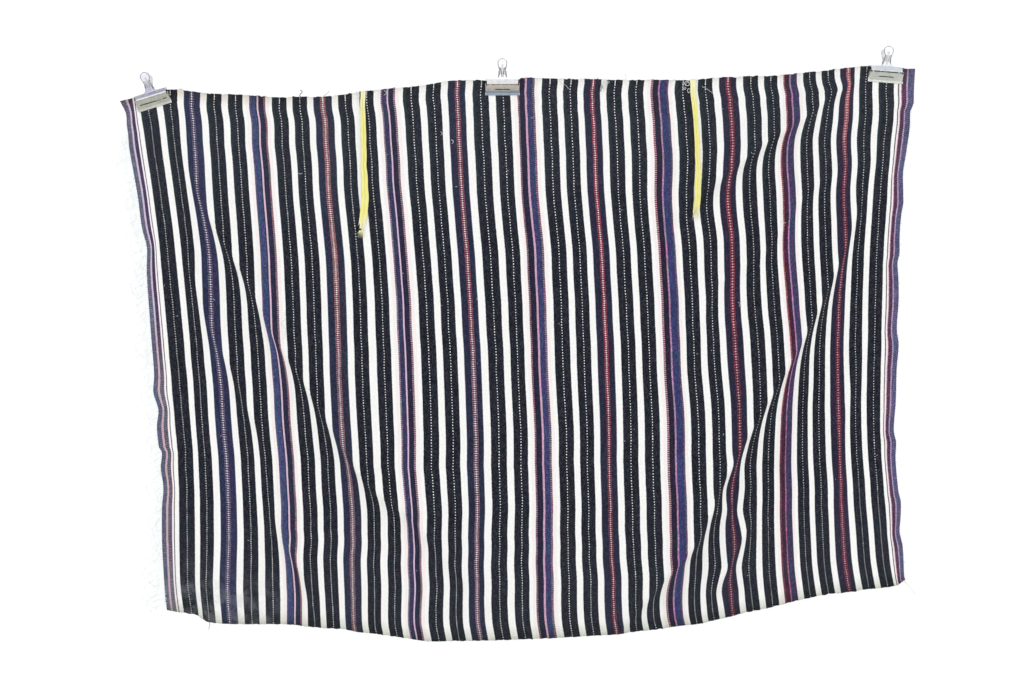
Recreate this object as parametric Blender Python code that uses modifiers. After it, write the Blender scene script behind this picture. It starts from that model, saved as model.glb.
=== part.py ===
"""A striped warp-faced carrying cloth hung from three steel spring clips.

Metres, +Z up. X runs along the cloth's width, +Y points to the wall that the
clips' rear handles lie against. The origin is on the back of the middle
clip's rear handle. Tables are in millimetres on the wall.
"""

import math

import bmesh
import bpy
import numpy as np
from mathutils import Matrix

MM = 0.001

# ---------------------------------------------------------------- cloth sizes
SHEET = 2.0          # thickness of the woven cloth
WALL_GAP = 11.0      # wall to the middle of the cloth at the clips
COLUMNS, ROWS = 52, 28

# upper edge: x, z
TOP = [(-556, -38), (-543, -35), (-533, -34), (-495, -24), (-473, -23.5), (-456, -27.5), (-441, -30), (-409, -33), (-366, -36),
       (-325, -39), (-290, -40), (-249, -39), (-207, -35), (-157, -30.5), (-115, -27), (-72, -21.5), (-40, -22),
       (-20, -23.5), (20, -23.5), (28, -20), (68, -22), (100, -24), (141, -26), (163, -28), (206, -28), (240, -29),
       (286, -31), (323, -27), (345, -28), (387, -28), (442, -25), (464, -23.5), (491, -20), (529, -17),
       (545, -19.5), (575, -22), (598, -24)]
# lower edge: x, z
BOTTOM = [(-508, -778), (-480, -784), (-465, -787), (-456, -794), (-447, -798), (-429, -800), (-390, -802),
          (-350, -803), (-303, -808), (-256, -812), (-230, -818), (-214, -820), (-167, -828), (-129, -834),
          (-98, -834.5), (-60, -835), (20, -834), (73, -833), (95, -832), (148, -829), (200, -825.5), (232, -822),
          (264, -819), (300, -812), (330, -805), (360, -800), (405, -789.5), (445, -783), (491, -778), (553, -772),
          (564, -766)]
# left and right edges: z, x
LEFT = [(-41, -556), (-66, -547), (-110, -542), (-183, -532), (-231, -526), (-263, -523), (-343, -522),
        (-393, -519), (-466, -518), (-517, -514), (-555, -510), (-604, -509), (-684, -512), (-778, -508)]
RIGHT = [(-25, 598), (-54, 596), (-76, 594), (-105, 588), (-148, 581), (-184, 575), (-220, 575), (-271, 569),
         (-336, 565), (-404, 561), (-459, 559), (-503, 556), (-546, 553), (-582, 554), (-633, 557), (-691, 558),
         (-713, 561), (-766, 564)]
# how far the middle of the cloth leans out from the wall: z, lean
LEAN = [(-30, 0), (-200, 5), (-400, 10), (-600, 11), (-740, 8), (-840, 0)]
LEAN_MIDDLE, LEAN_REACH = 20.0, 420.0

# Folds. Each has a crest line that runs down the cloth and drops steeply on
# its outer side (+1 right, -1 left). Rows: z, x of the crest, rise of the
# crest, how far it reaches on the inner side, and on the outer side.
CREST = 4.0          # rounding of the crests
FOLDS = {
    "right_main": (1, [
        (-190, 515, 6, 50, 13), (-263, 489, 20, 60, 14), (-343, 453, 28, 80, 15), (-428, 406, 32, 90, 16),
        (-505, 359, 34, 90, 16), (-585, 310, 34, 90, 17), (-645, 281, 32, 90, 15), (-691, 260, 30, 80, 14),
        (-732, 224, 28, 80, 15), (-779, 182, 24, 70, 16), (-835, 136, 16, 60, 17)]),
    "right_second": (1, [
        (-630, 354, 2, 30, 13), (-689, 325, 15, 34, 13), (-726, 304, 18, 34, 13), (-765, 285, 12, 30, 13),
        (-805, 266, 3, 30, 13)]),
    "right_outer": (1, [
        (-380, 520, 2, 30, 18), (-450, 500, 10, 34, 18), (-520, 478, 12, 34, 18), (-600, 462, 10, 34, 18),
        (-680, 450, 7, 34, 18), (-760, 440, 0, 34, 18)]),
    "right_high": (1, [
        (-30, 530, 8, 30, 15), (-57, 472, 20, 40, 16), (-89, 432, 26, 50, 17), (-123, 377, 28, 50, 17),
        (-169, 315, 24, 50, 17), (-213, 255, 14, 50, 17), (-262, 190, 3, 50, 17)]),
    "right_mid": (1, [
        (-150, 500, 2, 40, 16), (-205, 425, 12, 44, 17), (-275, 372, 12, 50, 18), (-340, 285, 11, 50, 18),
        (-420, 262, 9, 50, 20), (-520, 240, 1, 50, 20)]),
    "left_main": (-1, [
        (-110, -462, 5, 50, 10), (-174, -440, 16, 60, 11), (-246, -406, 22, 70, 12), (-303, -372, 24, 80, 12),
        (-380, -337, 24, 80, 13), (-461, -288, 24, 80, 13), (-550, -238, 24, 80, 14), (-607, -200, 22, 80, 15),
        (-653, -146, 18, 80, 16), (-720, -90, 12, 80, 18), (-800, -20, 4, 80, 18)]),
    "left_low": (-1, [
        (-258, -462, 3, 40, 10), (-310, -447, 12, 50, 11), (-382, -423, 16, 60, 12), (-438, -395, 16, 60, 12),
        (-487, -377, 15, 60, 12), (-540, -356, 12, 60, 12), (-610, -348, 9, 50, 12), (-672, -333, 15, 50, 11),
        (-702, -317, 18, 50, 11), (-740, -301, 16, 50, 11), (-805, -283, 6, 50, 11)]),
}

# the cloth is pressed flat this far to each side of a clip's middle and below its handle's tip
GRIP_SIDE, GRIP_BELOW, GRIP_FADE = 40.0, 60.0, 24.0

# ---------------------------------------------------------------- clips
# place of the rear handle's back, and the tilt about Y: name, x, z, degrees (positive leans to the right)
CLIPS = [("left", -517.0, -5.5, -15.5), ("middle", 0.0, 0.0, 1.5), ("right", 558.5, 3.0, 6.0)]
STEEL = 0.8          # plate of the levers
# a lever from the tip of its handle to its jaw: z, distance from the cloth's middle, half width
LEVER = [
    (6.2, 10.6, 1.8), (3.6, 10.6, 5.8), (1.0, 10.6, 6.9), (-2.6, 10.6, 6.7), (-6.6, 10.6, 5.2),
    (-11.0, 7.2, 4.7), (-15.4, 3.5, 5.0), (-19.4, 3.5, 6.2), (-21.6, 3.6, 9.0), (-22.8, 4.0, 25.0),
    (-28.6, 8.8, 25.0), (-29.8, 9.5, 25.0), (-33.2, 7.6, 25.0), (-36.8, 5.4, 25.0), (-38.0, 4.7, 25.0),
    (-42.6, 2.3, 25.0), (-45.6, 1.9, 25.0),
]
# columns of a lever, as shares of its half width; the outermost is the cheek, folded back towards the cloth
ACROSS = [-1.0, -0.965, -0.9, -0.45, 0.0, 0.45, 0.9, 0.965, 1.0]
CHEEK = 2.0          # distance of a cheek's edge from the cloth's middle
FLANGE_END = -29.3   # the flange stops short of the cheeks above this height
SLIT_END = -32.0     # the plate is cut free of the cheeks above this height
SLOT = (-38.0, -36.8)  # the cross slot of the front plate lies between these heights
HOLES = [(2.8, 1.2), (-4.0, 2.0)]   # round holes of the handle: z, radius
PIN_Z, PIN_RADIUS, PIN_HALF = -16.9, 2.7, 6.6

# ---------------------------------------------------------------- ties and fringe
TIE = 1.0            # thickness of the tape
TIE_CLEAR = 3.2      # middle of the tape to the middle of the cloth
# z, x of the tape's middle, width
TIE_LEFT = [(-34, -203, 6.8), (-76, -204, 7.2), (-120, -204, 7.6), (-149, -204, 8.2), (-178, -204, 10.0),
            (-203, -205, 10.6), (-221, -208, 10.0), (-232, -210, 8.4), (-241, -211, 4.0)]
TIE_RIGHT = [(-30, 274, 8.4), (-65, 276, 7.4), (-102, 277, 6.6), (-139, 277, 6.5), (-175, 276, 8.3),
             (-200, 275, 8.9), (-220, 273, 8.7), (-229, 272, 8.0)]
FRINGE = 1.0         # thickness of the comb of threads
FRINGE_GAP = 0.8     # clear of the cloth's edge
FRINGE_SPINE = 3.0
FRINGE_TOP, FRINGE_LOW = -95.0, -772.0
FRINGE_ROWS = 84


# ---------------------------------------------------------------- surface of the cloth
def smooth(rows, x, at=0, value=1):
    """A smooth curve through a table's rows, straight beyond its ends."""
    rows = sorted(rows)
    xs = np.array([r[at] for r in rows], float)
    ys = np.array([r[value] for r in rows], float)
    rise = np.diff(ys) / np.diff(xs)
    slope = np.empty(len(xs))
    slope[0], slope[-1] = rise[0], rise[-1]
    same = rise[:-1] * rise[1:] > 0
    slope[1:-1] = np.where(same, 2 * rise[:-1] * rise[1:] / np.where(same, rise[:-1] + rise[1:], 1), 0)
    x = np.asarray(x, float)
    held = np.clip(x, xs[0], xs[-1])
    i = np.clip(np.searchsorted(xs, held) - 1, 0, len(xs) - 2)
    h = xs[i + 1] - xs[i]
    t = (held - xs[i]) / h
    y = (ys[i] * (2 * t**3 - 3 * t**2 + 1) + slope[i] * h * (t**3 - 2 * t**2 + t)
         + ys[i + 1] * (3 * t**2 - 2 * t**3) + slope[i + 1] * h * (t**3 - t**2))
    return y + np.minimum(x - xs[0], 0) * slope[0] + np.maximum(x - xs[-1], 0) * slope[-1]


def fold_height(x, z, side, rows):
    lowest, highest = min(r[0] for r in rows), max(r[0] for r in rows)
    held = np.clip(z, lowest, highest)
    slant = (smooth(rows, held + 3) - smooth(rows, held - 3)) / 6
    away = side * (x - smooth(rows, z)) / np.sqrt(1 + slant**2)
    outer = 0.5 + 0.5 * np.tanh(away / CREST)
    reach = smooth(rows, held, value=3) * (1 - outer) + smooth(rows, held, value=4) * outer
    far = np.sqrt(away**2 + CREST**2) - CREST
    return smooth(rows, held, value=2) * np.exp(-far / reach)


def gripped(x, z):
    """1 where a clip presses the cloth flat, fading to 0 around it."""
    share = 0 * x
    for _, cx, cz, tilt in CLIPS:
        a = math.radians(tilt)
        across = (x - cx) * math.cos(a) - (z - cz) * math.sin(a)
        up = (x - cx) * math.sin(a) + (z - cz) * math.cos(a)
        side = np.maximum(np.abs(across) - GRIP_SIDE, 0) / GRIP_FADE
        below = np.maximum(-GRIP_BELOW - up, 0) / GRIP_FADE
        share = np.maximum(share, np.exp(-(side**2 + below**2)))
    return share


def proud(x, z):
    """Distance of the cloth's middle from the wall."""
    out = smooth(LEAN, z) * np.exp(-(((x - LEAN_MIDDLE) / LEAN_REACH) ** 4))
    for side, rows in FOLDS.values():
        out = out + fold_height(x, z, side, rows)
    return WALL_GAP + out * (1 - gripped(x, z))


def cloth_row(t, shares):
    """Points of the woven row at the share t of the height, at the given shares of its length."""
    start = float(smooth(LEFT, -36 - 742 * t))
    end = float(smooth(RIGHT, -24 - 744 * t))
    x = np.linspace(start, end, 1600)
    above, below = smooth(TOP, x), smooth(BOTTOM, x)
    z = above + (below - above) * t
    h = proud(x, z)
    length = np.concatenate([[0], np.cumsum(np.sqrt(np.diff(x) ** 2 + np.diff(z) ** 2 + np.diff(h) ** 2))])
    at = np.asarray(shares) * length[-1]
    return np.interp(at, length, x), -np.interp(at, length, h), np.interp(at, length, z)


# ---------------------------------------------------------------- making
def clear_scene():
    for obj in list(bpy.data.objects):
        bpy.data.objects.remove(obj, do_unlink=True)


def collection(name):
    made = bpy.data.collections.new(name)
    bpy.context.scene.collection.children.link(made)
    return made


def material(name, colour, roughness, metallic=0.0):
    made = bpy.data.materials.new(name)
    made.use_nodes = True
    shader = made.node_tree.nodes["Principled BSDF"]
    shader.inputs["Base Color"].default_value = (*colour, 1)
    shader.inputs["Roughness"].default_value = roughness
    shader.inputs["Metallic"].default_value = metallic
    made.diffuse_color = (*colour, 1)
    return made


def place(name, work, home, finish, parent=None, smooth_shade=True):
    mesh = bpy.data.meshes.new(name)
    bmesh.ops.recalc_face_normals(work, faces=work.faces)
    work.to_mesh(mesh)
    work.free()
    if smooth_shade:
        mesh.shade_smooth()
    obj = bpy.data.objects.new(name, mesh)
    obj.data.materials.append(finish)
    home.objects.link(obj)
    if parent:
        obj.parent = parent
    return obj


def thicken(obj, thickness, even=False):
    shell = obj.modifiers.new("Thickness", "SOLIDIFY")
    shell.thickness = thickness * MM
    shell.offset = 0
    shell.use_even_offset = even
    return shell


def grid(columns, rows, where):
    """A sheet of vertices, each moved to where(column, row), and the vertices by column and row."""
    work = bmesh.new()
    bmesh.ops.create_grid(work, x_segments=columns, y_segments=rows, size=1)
    found = {}
    for vert in work.verts:
        i = round((vert.co.x + 1) / 2 * columns)
        j = round((1 - vert.co.y) / 2 * rows)
        found[i, j] = vert
    for (i, j), vert in found.items():
        vert.co = where(i, j)
    return work, found


def make_cloth(home):
    shares = np.linspace(0, 1, COLUMNS + 1)
    lines = [np.transpose(cloth_row(j / ROWS, shares)) * MM for j in range(ROWS + 1)]
    work, _ = grid(COLUMNS, ROWS, lambda i, j: lines[j][i])
    cloth = place("cloth", work, home, material("dark_striped_wool", (0.03, 0.035, 0.05), 0.85))
    thicken(cloth, SHEET)
    return cloth


def make_tie(name, rows, home):
    """A flat tape hanging in front of the cloth from its upper edge."""
    steps = 14
    top, low = rows[0][0], rows[-1][0]

    def where(i, j):
        z = top + (low - top) * j / steps
        x = float(smooth(rows, z)) + (i - 1) * 0.5 * float(smooth(rows, z, value=2))
        middle = float(smooth(rows, z))
        out = max(float(proud(np.array(middle + d), np.array(z + e))) for d in (-12, 0, 12) for e in (-12, 0, 12))
        return x * MM, -(out + TIE_CLEAR) * MM, z * MM

    work, _ = grid(2, steps, where)
    tie = place(name, work, home, material(name + "_tape", (0.85, 0.8, 0.35), 0.8))
    thicken(tie, TIE)
    return tie


def thread_length(k):
    """Uneven length of the fringe's tooth k."""
    return 20 + 6 * math.sin(1.7 * k) + 4 * math.sin(0.61 * k + 1.0)


def make_fringe(home):
    """The loose weft ends of the left edge as one comb: a thin spine along the edge, and drooping teeth."""
    edge = [[float(v[0]) for v in cloth_row(j / ROWS, [0.0])] for j in range(ROWS + 1)]
    heights = [point[2] for point in edge]

    def edge_at(z):
        return [float(np.interp(-z, [-h for h in heights], [point[k] for point in edge])) for k in (0, 1)]

    top, low = FRINGE_TOP, FRINGE_LOW

    def where(i, j):
        z = top + (low - top) * j / FRINGE_ROWS
        x, y = edge_at(z)
        return (x - FRINGE_GAP - FRINGE_SPINE * (1 - i)) * MM, y * MM, z * MM

    work, found = grid(1, FRINGE_ROWS, where)
    for k in range(FRINGE_ROWS // 2):
        root = work.edges.get((found[0, 2 * k], found[0, 2 * k + 1]))
        made = bmesh.ops.extrude_edge_only(work, edges=[root])["geom"]
        tips = [g for g in made if isinstance(g, bmesh.types.BMVert)]
        middle = sum(v.co.z for v in tips) / 2
        reach = thread_length(k)
        for v in tips:
            v.co.x -= reach * MM
            v.co.z = middle + (v.co.z - middle) * 0.3 - 0.25 * reach * MM
            v.co.y += 0.03 * reach * MM * math.sin(2.3 * k)
    comb = place("fringe_left", work, home, material("white_wool_ends", (0.85, 0.83, 0.78), 0.9))
    thicken(comb, FRINGE)
    return comb


def make_lever(name, front, empty, home, cutters, finish):
    """A sprung lever: handle, flange, plate and jaw from one strip of sheet steel."""
    rows = len(LEVER) - 1

    def where(i, j):
        z, far, half = LEVER[j]
        if i in (0, len(ACROSS) - 1) and far > CHEEK and z < FLANGE_END:
            far = CHEEK
        y = -WALL_GAP + (-far if front else far)
        return ACROSS[i] * half * MM, y * MM, z * MM

    work, _ = grid(len(ACROSS) - 1, rows, where)
    half = LEVER[-1][2]
    gone = []
    for face in work.faces:
        middle = face.calc_center_median() / MM
        side = abs(middle.x) / half
        if -22.4 > middle.z > FLANGE_END and side > 0.9:
            gone.append(face)
        elif FLANGE_END > middle.z > SLIT_END and 0.9 < side < 0.965:
            gone.append(face)
        elif front and SLOT[0] < middle.z < SLOT[1] and side < 0.45:
            gone.append(face)
    bmesh.ops.delete(work, geom=gone, context="FACES")
    lever = place(name, work, home, finish, empty, smooth_shade=False)
    thicken(lever, STEEL)
    for k, (z, radius) in enumerate(HOLES):
        drill = bmesh.new()
        bmesh.ops.create_cone(drill, cap_ends=True, segments=14, radius1=radius * MM, radius2=radius * MM, depth=6 * MM,
                              matrix=Matrix.Translation((0, (-WALL_GAP + (-1 if front else 1) * LEVER[0][1]) * MM, z * MM))
                              @ Matrix.Rotation(math.pi / 2, 4, "X"))
        cutter = place(f"{name}_drill_{k}", drill, cutters, finish, empty, smooth_shade=False)
        cutter.hide_render = True
        cutter.display_type = "WIRE"
        cut = lever.modifiers.new(f"Hole {k}", "BOOLEAN")
        cut.operation = "DIFFERENCE"
        cut.object = cutter
    return lever


def make_clip(label, x, z, tilt, home, cutters):
    empty = bpy.data.objects.new(f"clip_{label}", None)
    home.objects.link(empty)
    empty.location = (x * MM, 0, z * MM)
    empty.rotation_euler = (0, math.radians(tilt), 0)
    steel = material(f"clip_{label}_steel", (0.62, 0.62, 0.64), 0.25, 1.0)
    make_lever(f"clip_{label}_front", True, empty, home, cutters, steel)
    make_lever(f"clip_{label}_back", False, empty, home, cutters, steel)
    pin = bmesh.new()
    bmesh.ops.create_cone(pin, cap_ends=True, segments=16, radius1=PIN_RADIUS * MM, radius2=PIN_RADIUS * MM,
                          depth=2 * PIN_HALF * MM,
                          matrix=Matrix.Translation((0, -WALL_GAP * MM, PIN_Z * MM)) @ Matrix.Rotation(math.pi / 2, 4, "Y"))
    place(f"clip_{label}_spring", pin, home, material(f"clip_{label}_spring_steel", (0.45, 0.45, 0.47), 0.35, 1.0), empty)


def main():
    clear_scene()
    home = collection("carrying_cloth")
    cutters = collection("cutters")
    make_cloth(home)
    make_fringe(home)
    make_tie("tie_left", TIE_LEFT, home)
    make_tie("tie_right", TIE_RIGHT, home)
    for label, x, z, tilt in CLIPS:
        make_clip(label, x, z, tilt, home, cutters)
    bpy.context.view_layer.update()


main()
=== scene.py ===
"""Looks of the striped carrying cloth: woven sheet, fringe, tapes, loose threads, spring clips, stage, light and camera.

Lengths in the tables are millimetres on the wall, x to the right and z up; the cloth's front faces -Y.
"""

import math

import bmesh
import bpy
import numpy as np
from mathutils import Matrix, Vector, noise


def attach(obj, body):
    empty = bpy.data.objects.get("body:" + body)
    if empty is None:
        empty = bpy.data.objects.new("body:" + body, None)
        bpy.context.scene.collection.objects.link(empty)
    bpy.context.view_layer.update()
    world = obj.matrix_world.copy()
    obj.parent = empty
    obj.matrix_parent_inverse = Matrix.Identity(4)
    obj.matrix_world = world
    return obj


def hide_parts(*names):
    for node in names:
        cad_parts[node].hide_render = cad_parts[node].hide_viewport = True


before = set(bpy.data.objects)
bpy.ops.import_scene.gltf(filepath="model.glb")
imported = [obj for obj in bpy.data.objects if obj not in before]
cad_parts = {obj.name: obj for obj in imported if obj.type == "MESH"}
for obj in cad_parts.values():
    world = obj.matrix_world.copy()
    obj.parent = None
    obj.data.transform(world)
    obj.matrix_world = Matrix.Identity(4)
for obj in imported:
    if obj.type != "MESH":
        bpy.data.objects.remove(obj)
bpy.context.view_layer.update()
MM = 0.001
scene = bpy.context.scene

# ================================================================ camera
TILT = math.radians(1.56)
camera = bpy.data.cameras.new("camera")
camera.sensor_fit = "HORIZONTAL"
camera.sensor_width = 36.0
camera.lens = 57.84
camera.clip_start, camera.clip_end = 0.05, 50
eye = bpy.data.objects.new("camera", camera)
scene.collection.objects.link(eye)
right, up = Vector((math.cos(TILT), 0, -math.sin(TILT))), Vector((math.sin(TILT), 0, math.cos(TILT)))
eye.matrix_world = Matrix.Translation((0.0036, -2.4, -0.4027)) @ Matrix((right, up, (0, -1, 0))).transposed().to_4x4()
scene.camera = eye

# ================================================================ cloth: outline and folds
FLAT_WIDTH, FLAT_LENGTH = 1113.0, 790.0
VISUAL_SHEET = 1.7
WALL_GAP = 11.0
TOP = [(-556, -38), (-543, -35), (-533, -34), (-495, -24), (-473, -23.5), (-456, -27.5), (-441, -30), (-409, -33), (-366, -36),
       (-325, -39), (-290, -40), (-249, -39), (-207, -35), (-157, -30.5), (-115, -27), (-72, -21.5), (-40, -22),
       (-20, -23.5), (20, -23.5), (28, -20), (68, -22), (100, -24), (141, -26), (163, -28), (206, -28), (240, -29),
       (286, -31), (323, -27), (345, -28), (387, -28), (442, -25), (464, -23.5), (491, -20), (529, -17),
       (545, -19.5), (575, -22), (598, -24)]
BOTTOM = [(-508, -778), (-480, -784), (-465, -787), (-456, -794), (-447, -798), (-429, -800), (-390, -802),
          (-350, -803), (-303, -808), (-256, -812), (-230, -818), (-214, -820), (-167, -828), (-129, -834),
          (-98, -834.5), (-60, -835), (20, -834), (73, -833), (95, -832), (148, -829), (200, -825.5), (232, -822),
          (264, -819), (300, -812), (330, -805), (360, -800), (405, -789.5), (445, -783), (491, -778), (553, -772),
          (564, -766)]
LEFT = [(-41, -556), (-66, -547), (-78, -547), (-91, -545.5), (-110, -544.5), (-139, -540.5), (-183, -534),
        (-231, -529), (-263, -522.5), (-295, -524), (-343, -522), (-393, -519.5), (-444, -517), (-466, -519),
        (-495, -512), (-517, -515), (-546, -513), (-555, -508.5), (-575, -511), (-604, -508), (-636, -511),
        (-684, -512), (-720, -511), (-764, -509.5), (-778, -508)]
RIGHT = [(-25, 598), (-54, 595.5), (-76, 594), (-90, 588), (-105, 587.5), (-148, 581), (-184, 575), (-220, 575),
         (-235, 572), (-271, 568.5), (-293, 568), (-307, 564.5), (-336, 565.5), (-358, 565), (-404, 561),
         (-420, 563), (-459, 559), (-503, 556.5), (-546, 552.5), (-561, 555.5), (-582, 554), (-633, 557),
         (-648, 560), (-670, 559), (-691, 557), (-713, 561), (-761, 562.5), (-766, 564)]
LEAN = [(-30, 0), (-200, 5), (-400, 10), (-600, 11), (-740, 8), (-840, 0)]
LEAN_MIDDLE, LEAN_REACH = 20.0, 420.0
CREST = 3.0
# side of the steep flank, then rows: z, x of the crest, rise, inner reach, outer reach
FOLDS = {
    "right_main": (1, [
        (-190, 515, 6, 50, 13), (-263, 489, 20, 60, 14), (-343, 453, 28, 80, 15), (-428, 406, 32, 90, 16),
        (-505, 359, 34, 90, 16), (-585, 310, 34, 90, 17), (-645, 281, 32, 90, 15), (-691, 260, 30, 80, 14),
        (-732, 224, 28, 80, 15), (-779, 182, 24, 70, 16), (-835, 136, 16, 60, 17)]),
    "right_second": (1, [
        (-630, 354, 2, 30, 13), (-689, 325, 15, 34, 13), (-726, 304, 18, 34, 13), (-765, 285, 12, 30, 13),
        (-805, 266, 3, 30, 13)]),
    "right_outer": (1, [
        (-380, 520, 2, 30, 18), (-450, 500, 10, 34, 18), (-520, 478, 12, 34, 18), (-600, 462, 10, 34, 18),
        (-680, 450, 7, 34, 18), (-760, 440, 0, 34, 18)]),
    "right_high": (1, [
        (-30, 530, 8, 30, 15), (-57, 472, 20, 40, 16), (-89, 432, 26, 50, 17), (-123, 377, 28, 50, 17),
        (-169, 315, 24, 50, 17), (-213, 255, 14, 50, 17), (-262, 190, 3, 50, 17)]),
    "right_mid": (1, [
        (-150, 500, 2, 40, 16), (-205, 425, 12, 44, 17), (-275, 372, 12, 50, 18), (-340, 285, 11, 50, 18),
        (-420, 262, 9, 50, 20), (-520, 240, 1, 50, 20)]),
    "left_main": (-1, [
        (-110, -462, 5, 50, 10), (-174, -440, 16, 60, 11), (-246, -406, 22, 70, 12), (-303, -372, 24, 80, 12),
        (-380, -337, 24, 80, 13), (-461, -288, 24, 80, 13), (-550, -238, 24, 80, 14), (-607, -200, 22, 80, 15),
        (-653, -146, 18, 80, 16), (-720, -90, 12, 80, 18), (-800, -20, 4, 80, 18)]),
    "left_low": (-1, [
        (-258, -462, 3, 40, 10), (-310, -447, 12, 50, 11), (-382, -423, 16, 60, 12), (-438, -395, 16, 60, 12),
        (-487, -377, 15, 60, 12), (-540, -356, 12, 60, 12), (-610, -348, 9, 50, 12), (-672, -333, 15, 50, 11),
        (-702, -317, 18, 50, 11), (-740, -301, 16, 50, 11), (-805, -283, 6, 50, 11)]),
}
GRIP_SIDE, GRIP_BELOW, GRIP_FADE = 30.0, 50.0, 26.0
# place of the rear handle's back, and the tilt about Y: name, x, z, degrees
CLIPS = [("left", -517.0, -5.5, -15.5), ("middle", 0.0, 0.0, 1.5), ("right", 558.5, 3.0, 6.0)]
# width on the wall of the two borders: z, width
BORDER_LEFT = [(-41, 29), (-66, 24), (-197, 25.5), (-372, 24.5), (-546, 26), (-720, 26), (-778, 29)]
BORDER_RIGHT = [(-25, 28), (-54, 27), (-105, 23), (-184, 22), (-358, 23), (-560, 21), (-766, 20.5)]
EDGE_LEFT, EDGE_RIGHT = 25.5, 22.0
# small buckles, where one stripe is pinched or swells: x, z, how much each side moves in, half width, half height
BUCKLES = [(322, -586, 1.8, 11, 13), (318, -622, -2.5, 12, 15), (313, -655, 4.0, 11, 14), (309, -695, -2.5, 12, 18),
           (309, -736, 4.0, 11, 14), (304, -772, -2.5, 12, 14)]
# how far the stripes wander to the left of an even spread: flat places across, then rows of z and the amounts
DRIFT_AT = (0, 30, 100, 190, 290, 390, 490, 590, 690, 780, 840, 890, 940, 990, 1050, 1113)
DRIFT = [
    (-30, (0, -4, -5, -3, -2, 2, -1, -1, 1, 4, 4, 3, 3, 4, 5, 0)),
    (-70, (0, -1, -2, -2, -2, 4, 4, 4, 7, 8, 5, 4, 5, 5, 6, 0)),
    (-115, (0, 1, 2, 3, 2, 6, 6, 5, 7, 7, 4, 4, 6, 6, 7, 0)),
    (-160, (0, 2, 2, 2, 2, 5, 4, 3, 5, 4, 3, 3, 3, 1, 3, 0)),
    (-210, (0, 4, 2, 1, 0, 1, 1, -1, 0, 2, 2, 1, 0, 1, 3, 0)),
    (-270, (0, 4, 1, 0, -3, -1, -2, -5, -4, -2, -2, -1, 2, 2, 4, 0)),
    (-350, (0, 1, -2, -3, -6, -6, -6, -7, -7, -5, -2, -2, -2, 1, 3, 0)),
    (-440, (0, 0, -3, -3, -4, -6, -7, -6, -8, -5, -3, -5, -5, 2, 6, 0)),
    (-530, (0, 0, -2, -1, -3, -4, -6, -7, -7, -8, -6, -4, -3, 3, 3, 0)),
    (-600, (0, 1, -3, -1, -2, 0, -2, -4, -4, -6, -5, -1, 0, 3, 1, 0)),
    (-680, (0, 1, -3, -5, -5, 0, 2, -1, -2, -5, -2, 4, 3, 5, 1, 0)),
    (-750, (0, 3, 1, -5, -4, -1, 4, 0, -4, -3, 6, 8, 5, 6, 2, 0)),
    (-810, (0, 5, 6, 3, 4, 6, 8, 3, -3, 2, 11, 13, 11, 9, 4, 0)),
]

# ================================================================ cloth: chart of the stripes
# kind, width of the coloured stripe, width of the white gap after it
STRIPES = [
    ("dots", 22.0, 9.5), ("dots", 19.5, 10.0), ("band_1", 23.0, 10.0), ("dots", 20.5, 10.0), ("dots", 20.0, 10.0),
    ("split_1", 22.0, 10.0), ("dots", 20.0, 9.0), ("dots", 20.0, 9.5), ("band_2", 25.5, 10.0), ("dots", 20.0, 11.5),
    ("dots", 20.0, 11.0), ("split_2", 20.5, 11.5), ("dots", 21.5, 10.0), ("dots", 20.0, 10.0), ("band_3", 23.5, 11.0),
    ("dots", 22.0, 10.5), ("dots", 20.0, 10.5), ("split_3", 23.5, 11.0), ("dots", 21.5, 9.5), ("dots", 20.0, 9.5),
    ("band_4", 23.5, 10.0), ("dots", 21.0, 10.0), ("dots", 21.0, 11.0), ("split_4", 24.5, 10.0), ("dots", 21.0, 10.5),
    ("dots", 19.5, 10.0), ("band_5", 23.0, 10.0), ("dots", 20.0, 9.0), ("dots", 18.0, 9.0), ("split_5", 18.5, 9.5),
    ("dots", 17.5, 8.5), ("dots", 18.0, 8.5), ("band_6", 21.0, 9.0), ("dots", 17.5, 8.5), ("dots", 19.0, 0.0),
]
HALF = {"dots": 10.0, "band": 11.7, "split": 11.0}     # drawn half width of each kind, which is stretched to fit
RIM = 2.0                                              # white between a border and the first or last stripe


def smooth(rows, x, at=0, value=1):
    """A smooth curve through a table's rows, straight beyond its ends."""
    rows = sorted(rows)
    xs = np.array([r[at] for r in rows], float)
    ys = np.array([r[value] for r in rows], float)
    rise = np.diff(ys) / np.diff(xs)
    slope = np.empty(len(xs))
    slope[0], slope[-1] = rise[0], rise[-1]
    same = rise[:-1] * rise[1:] > 0
    slope[1:-1] = np.where(same, 2 * rise[:-1] * rise[1:] / np.where(same, rise[:-1] + rise[1:], 1), 0)
    x = np.asarray(x, float)
    held = np.clip(x, xs[0], xs[-1])
    i = np.clip(np.searchsorted(xs, held) - 1, 0, len(xs) - 2)
    h = xs[i + 1] - xs[i]
    t = (held - xs[i]) / h
    y = (ys[i] * (2 * t**3 - 3 * t**2 + 1) + slope[i] * h * (t**3 - 2 * t**2 + t)
         + ys[i + 1] * (3 * t**2 - 2 * t**3) + slope[i + 1] * h * (t**3 - t**2))
    return y + np.minimum(x - xs[0], 0) * slope[0] + np.maximum(x - xs[-1], 0) * slope[-1]


def fold_height(x, z, side, rows):
    lowest, highest = min(r[0] for r in rows), max(r[0] for r in rows)
    held = np.clip(z, lowest, highest)
    slant = (smooth(rows, held + 3) - smooth(rows, held - 3)) / 6
    away = side * (x - smooth(rows, z)) / np.sqrt(1 + slant**2)
    outer = 0.5 + 0.5 * np.tanh(away / CREST)
    reach = smooth(rows, held, value=3) * (1 - outer) + smooth(rows, held, value=4) * outer
    far = np.sqrt(away**2 + CREST**2) - CREST
    return smooth(rows, held, value=2) * np.exp(-far / reach)


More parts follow.
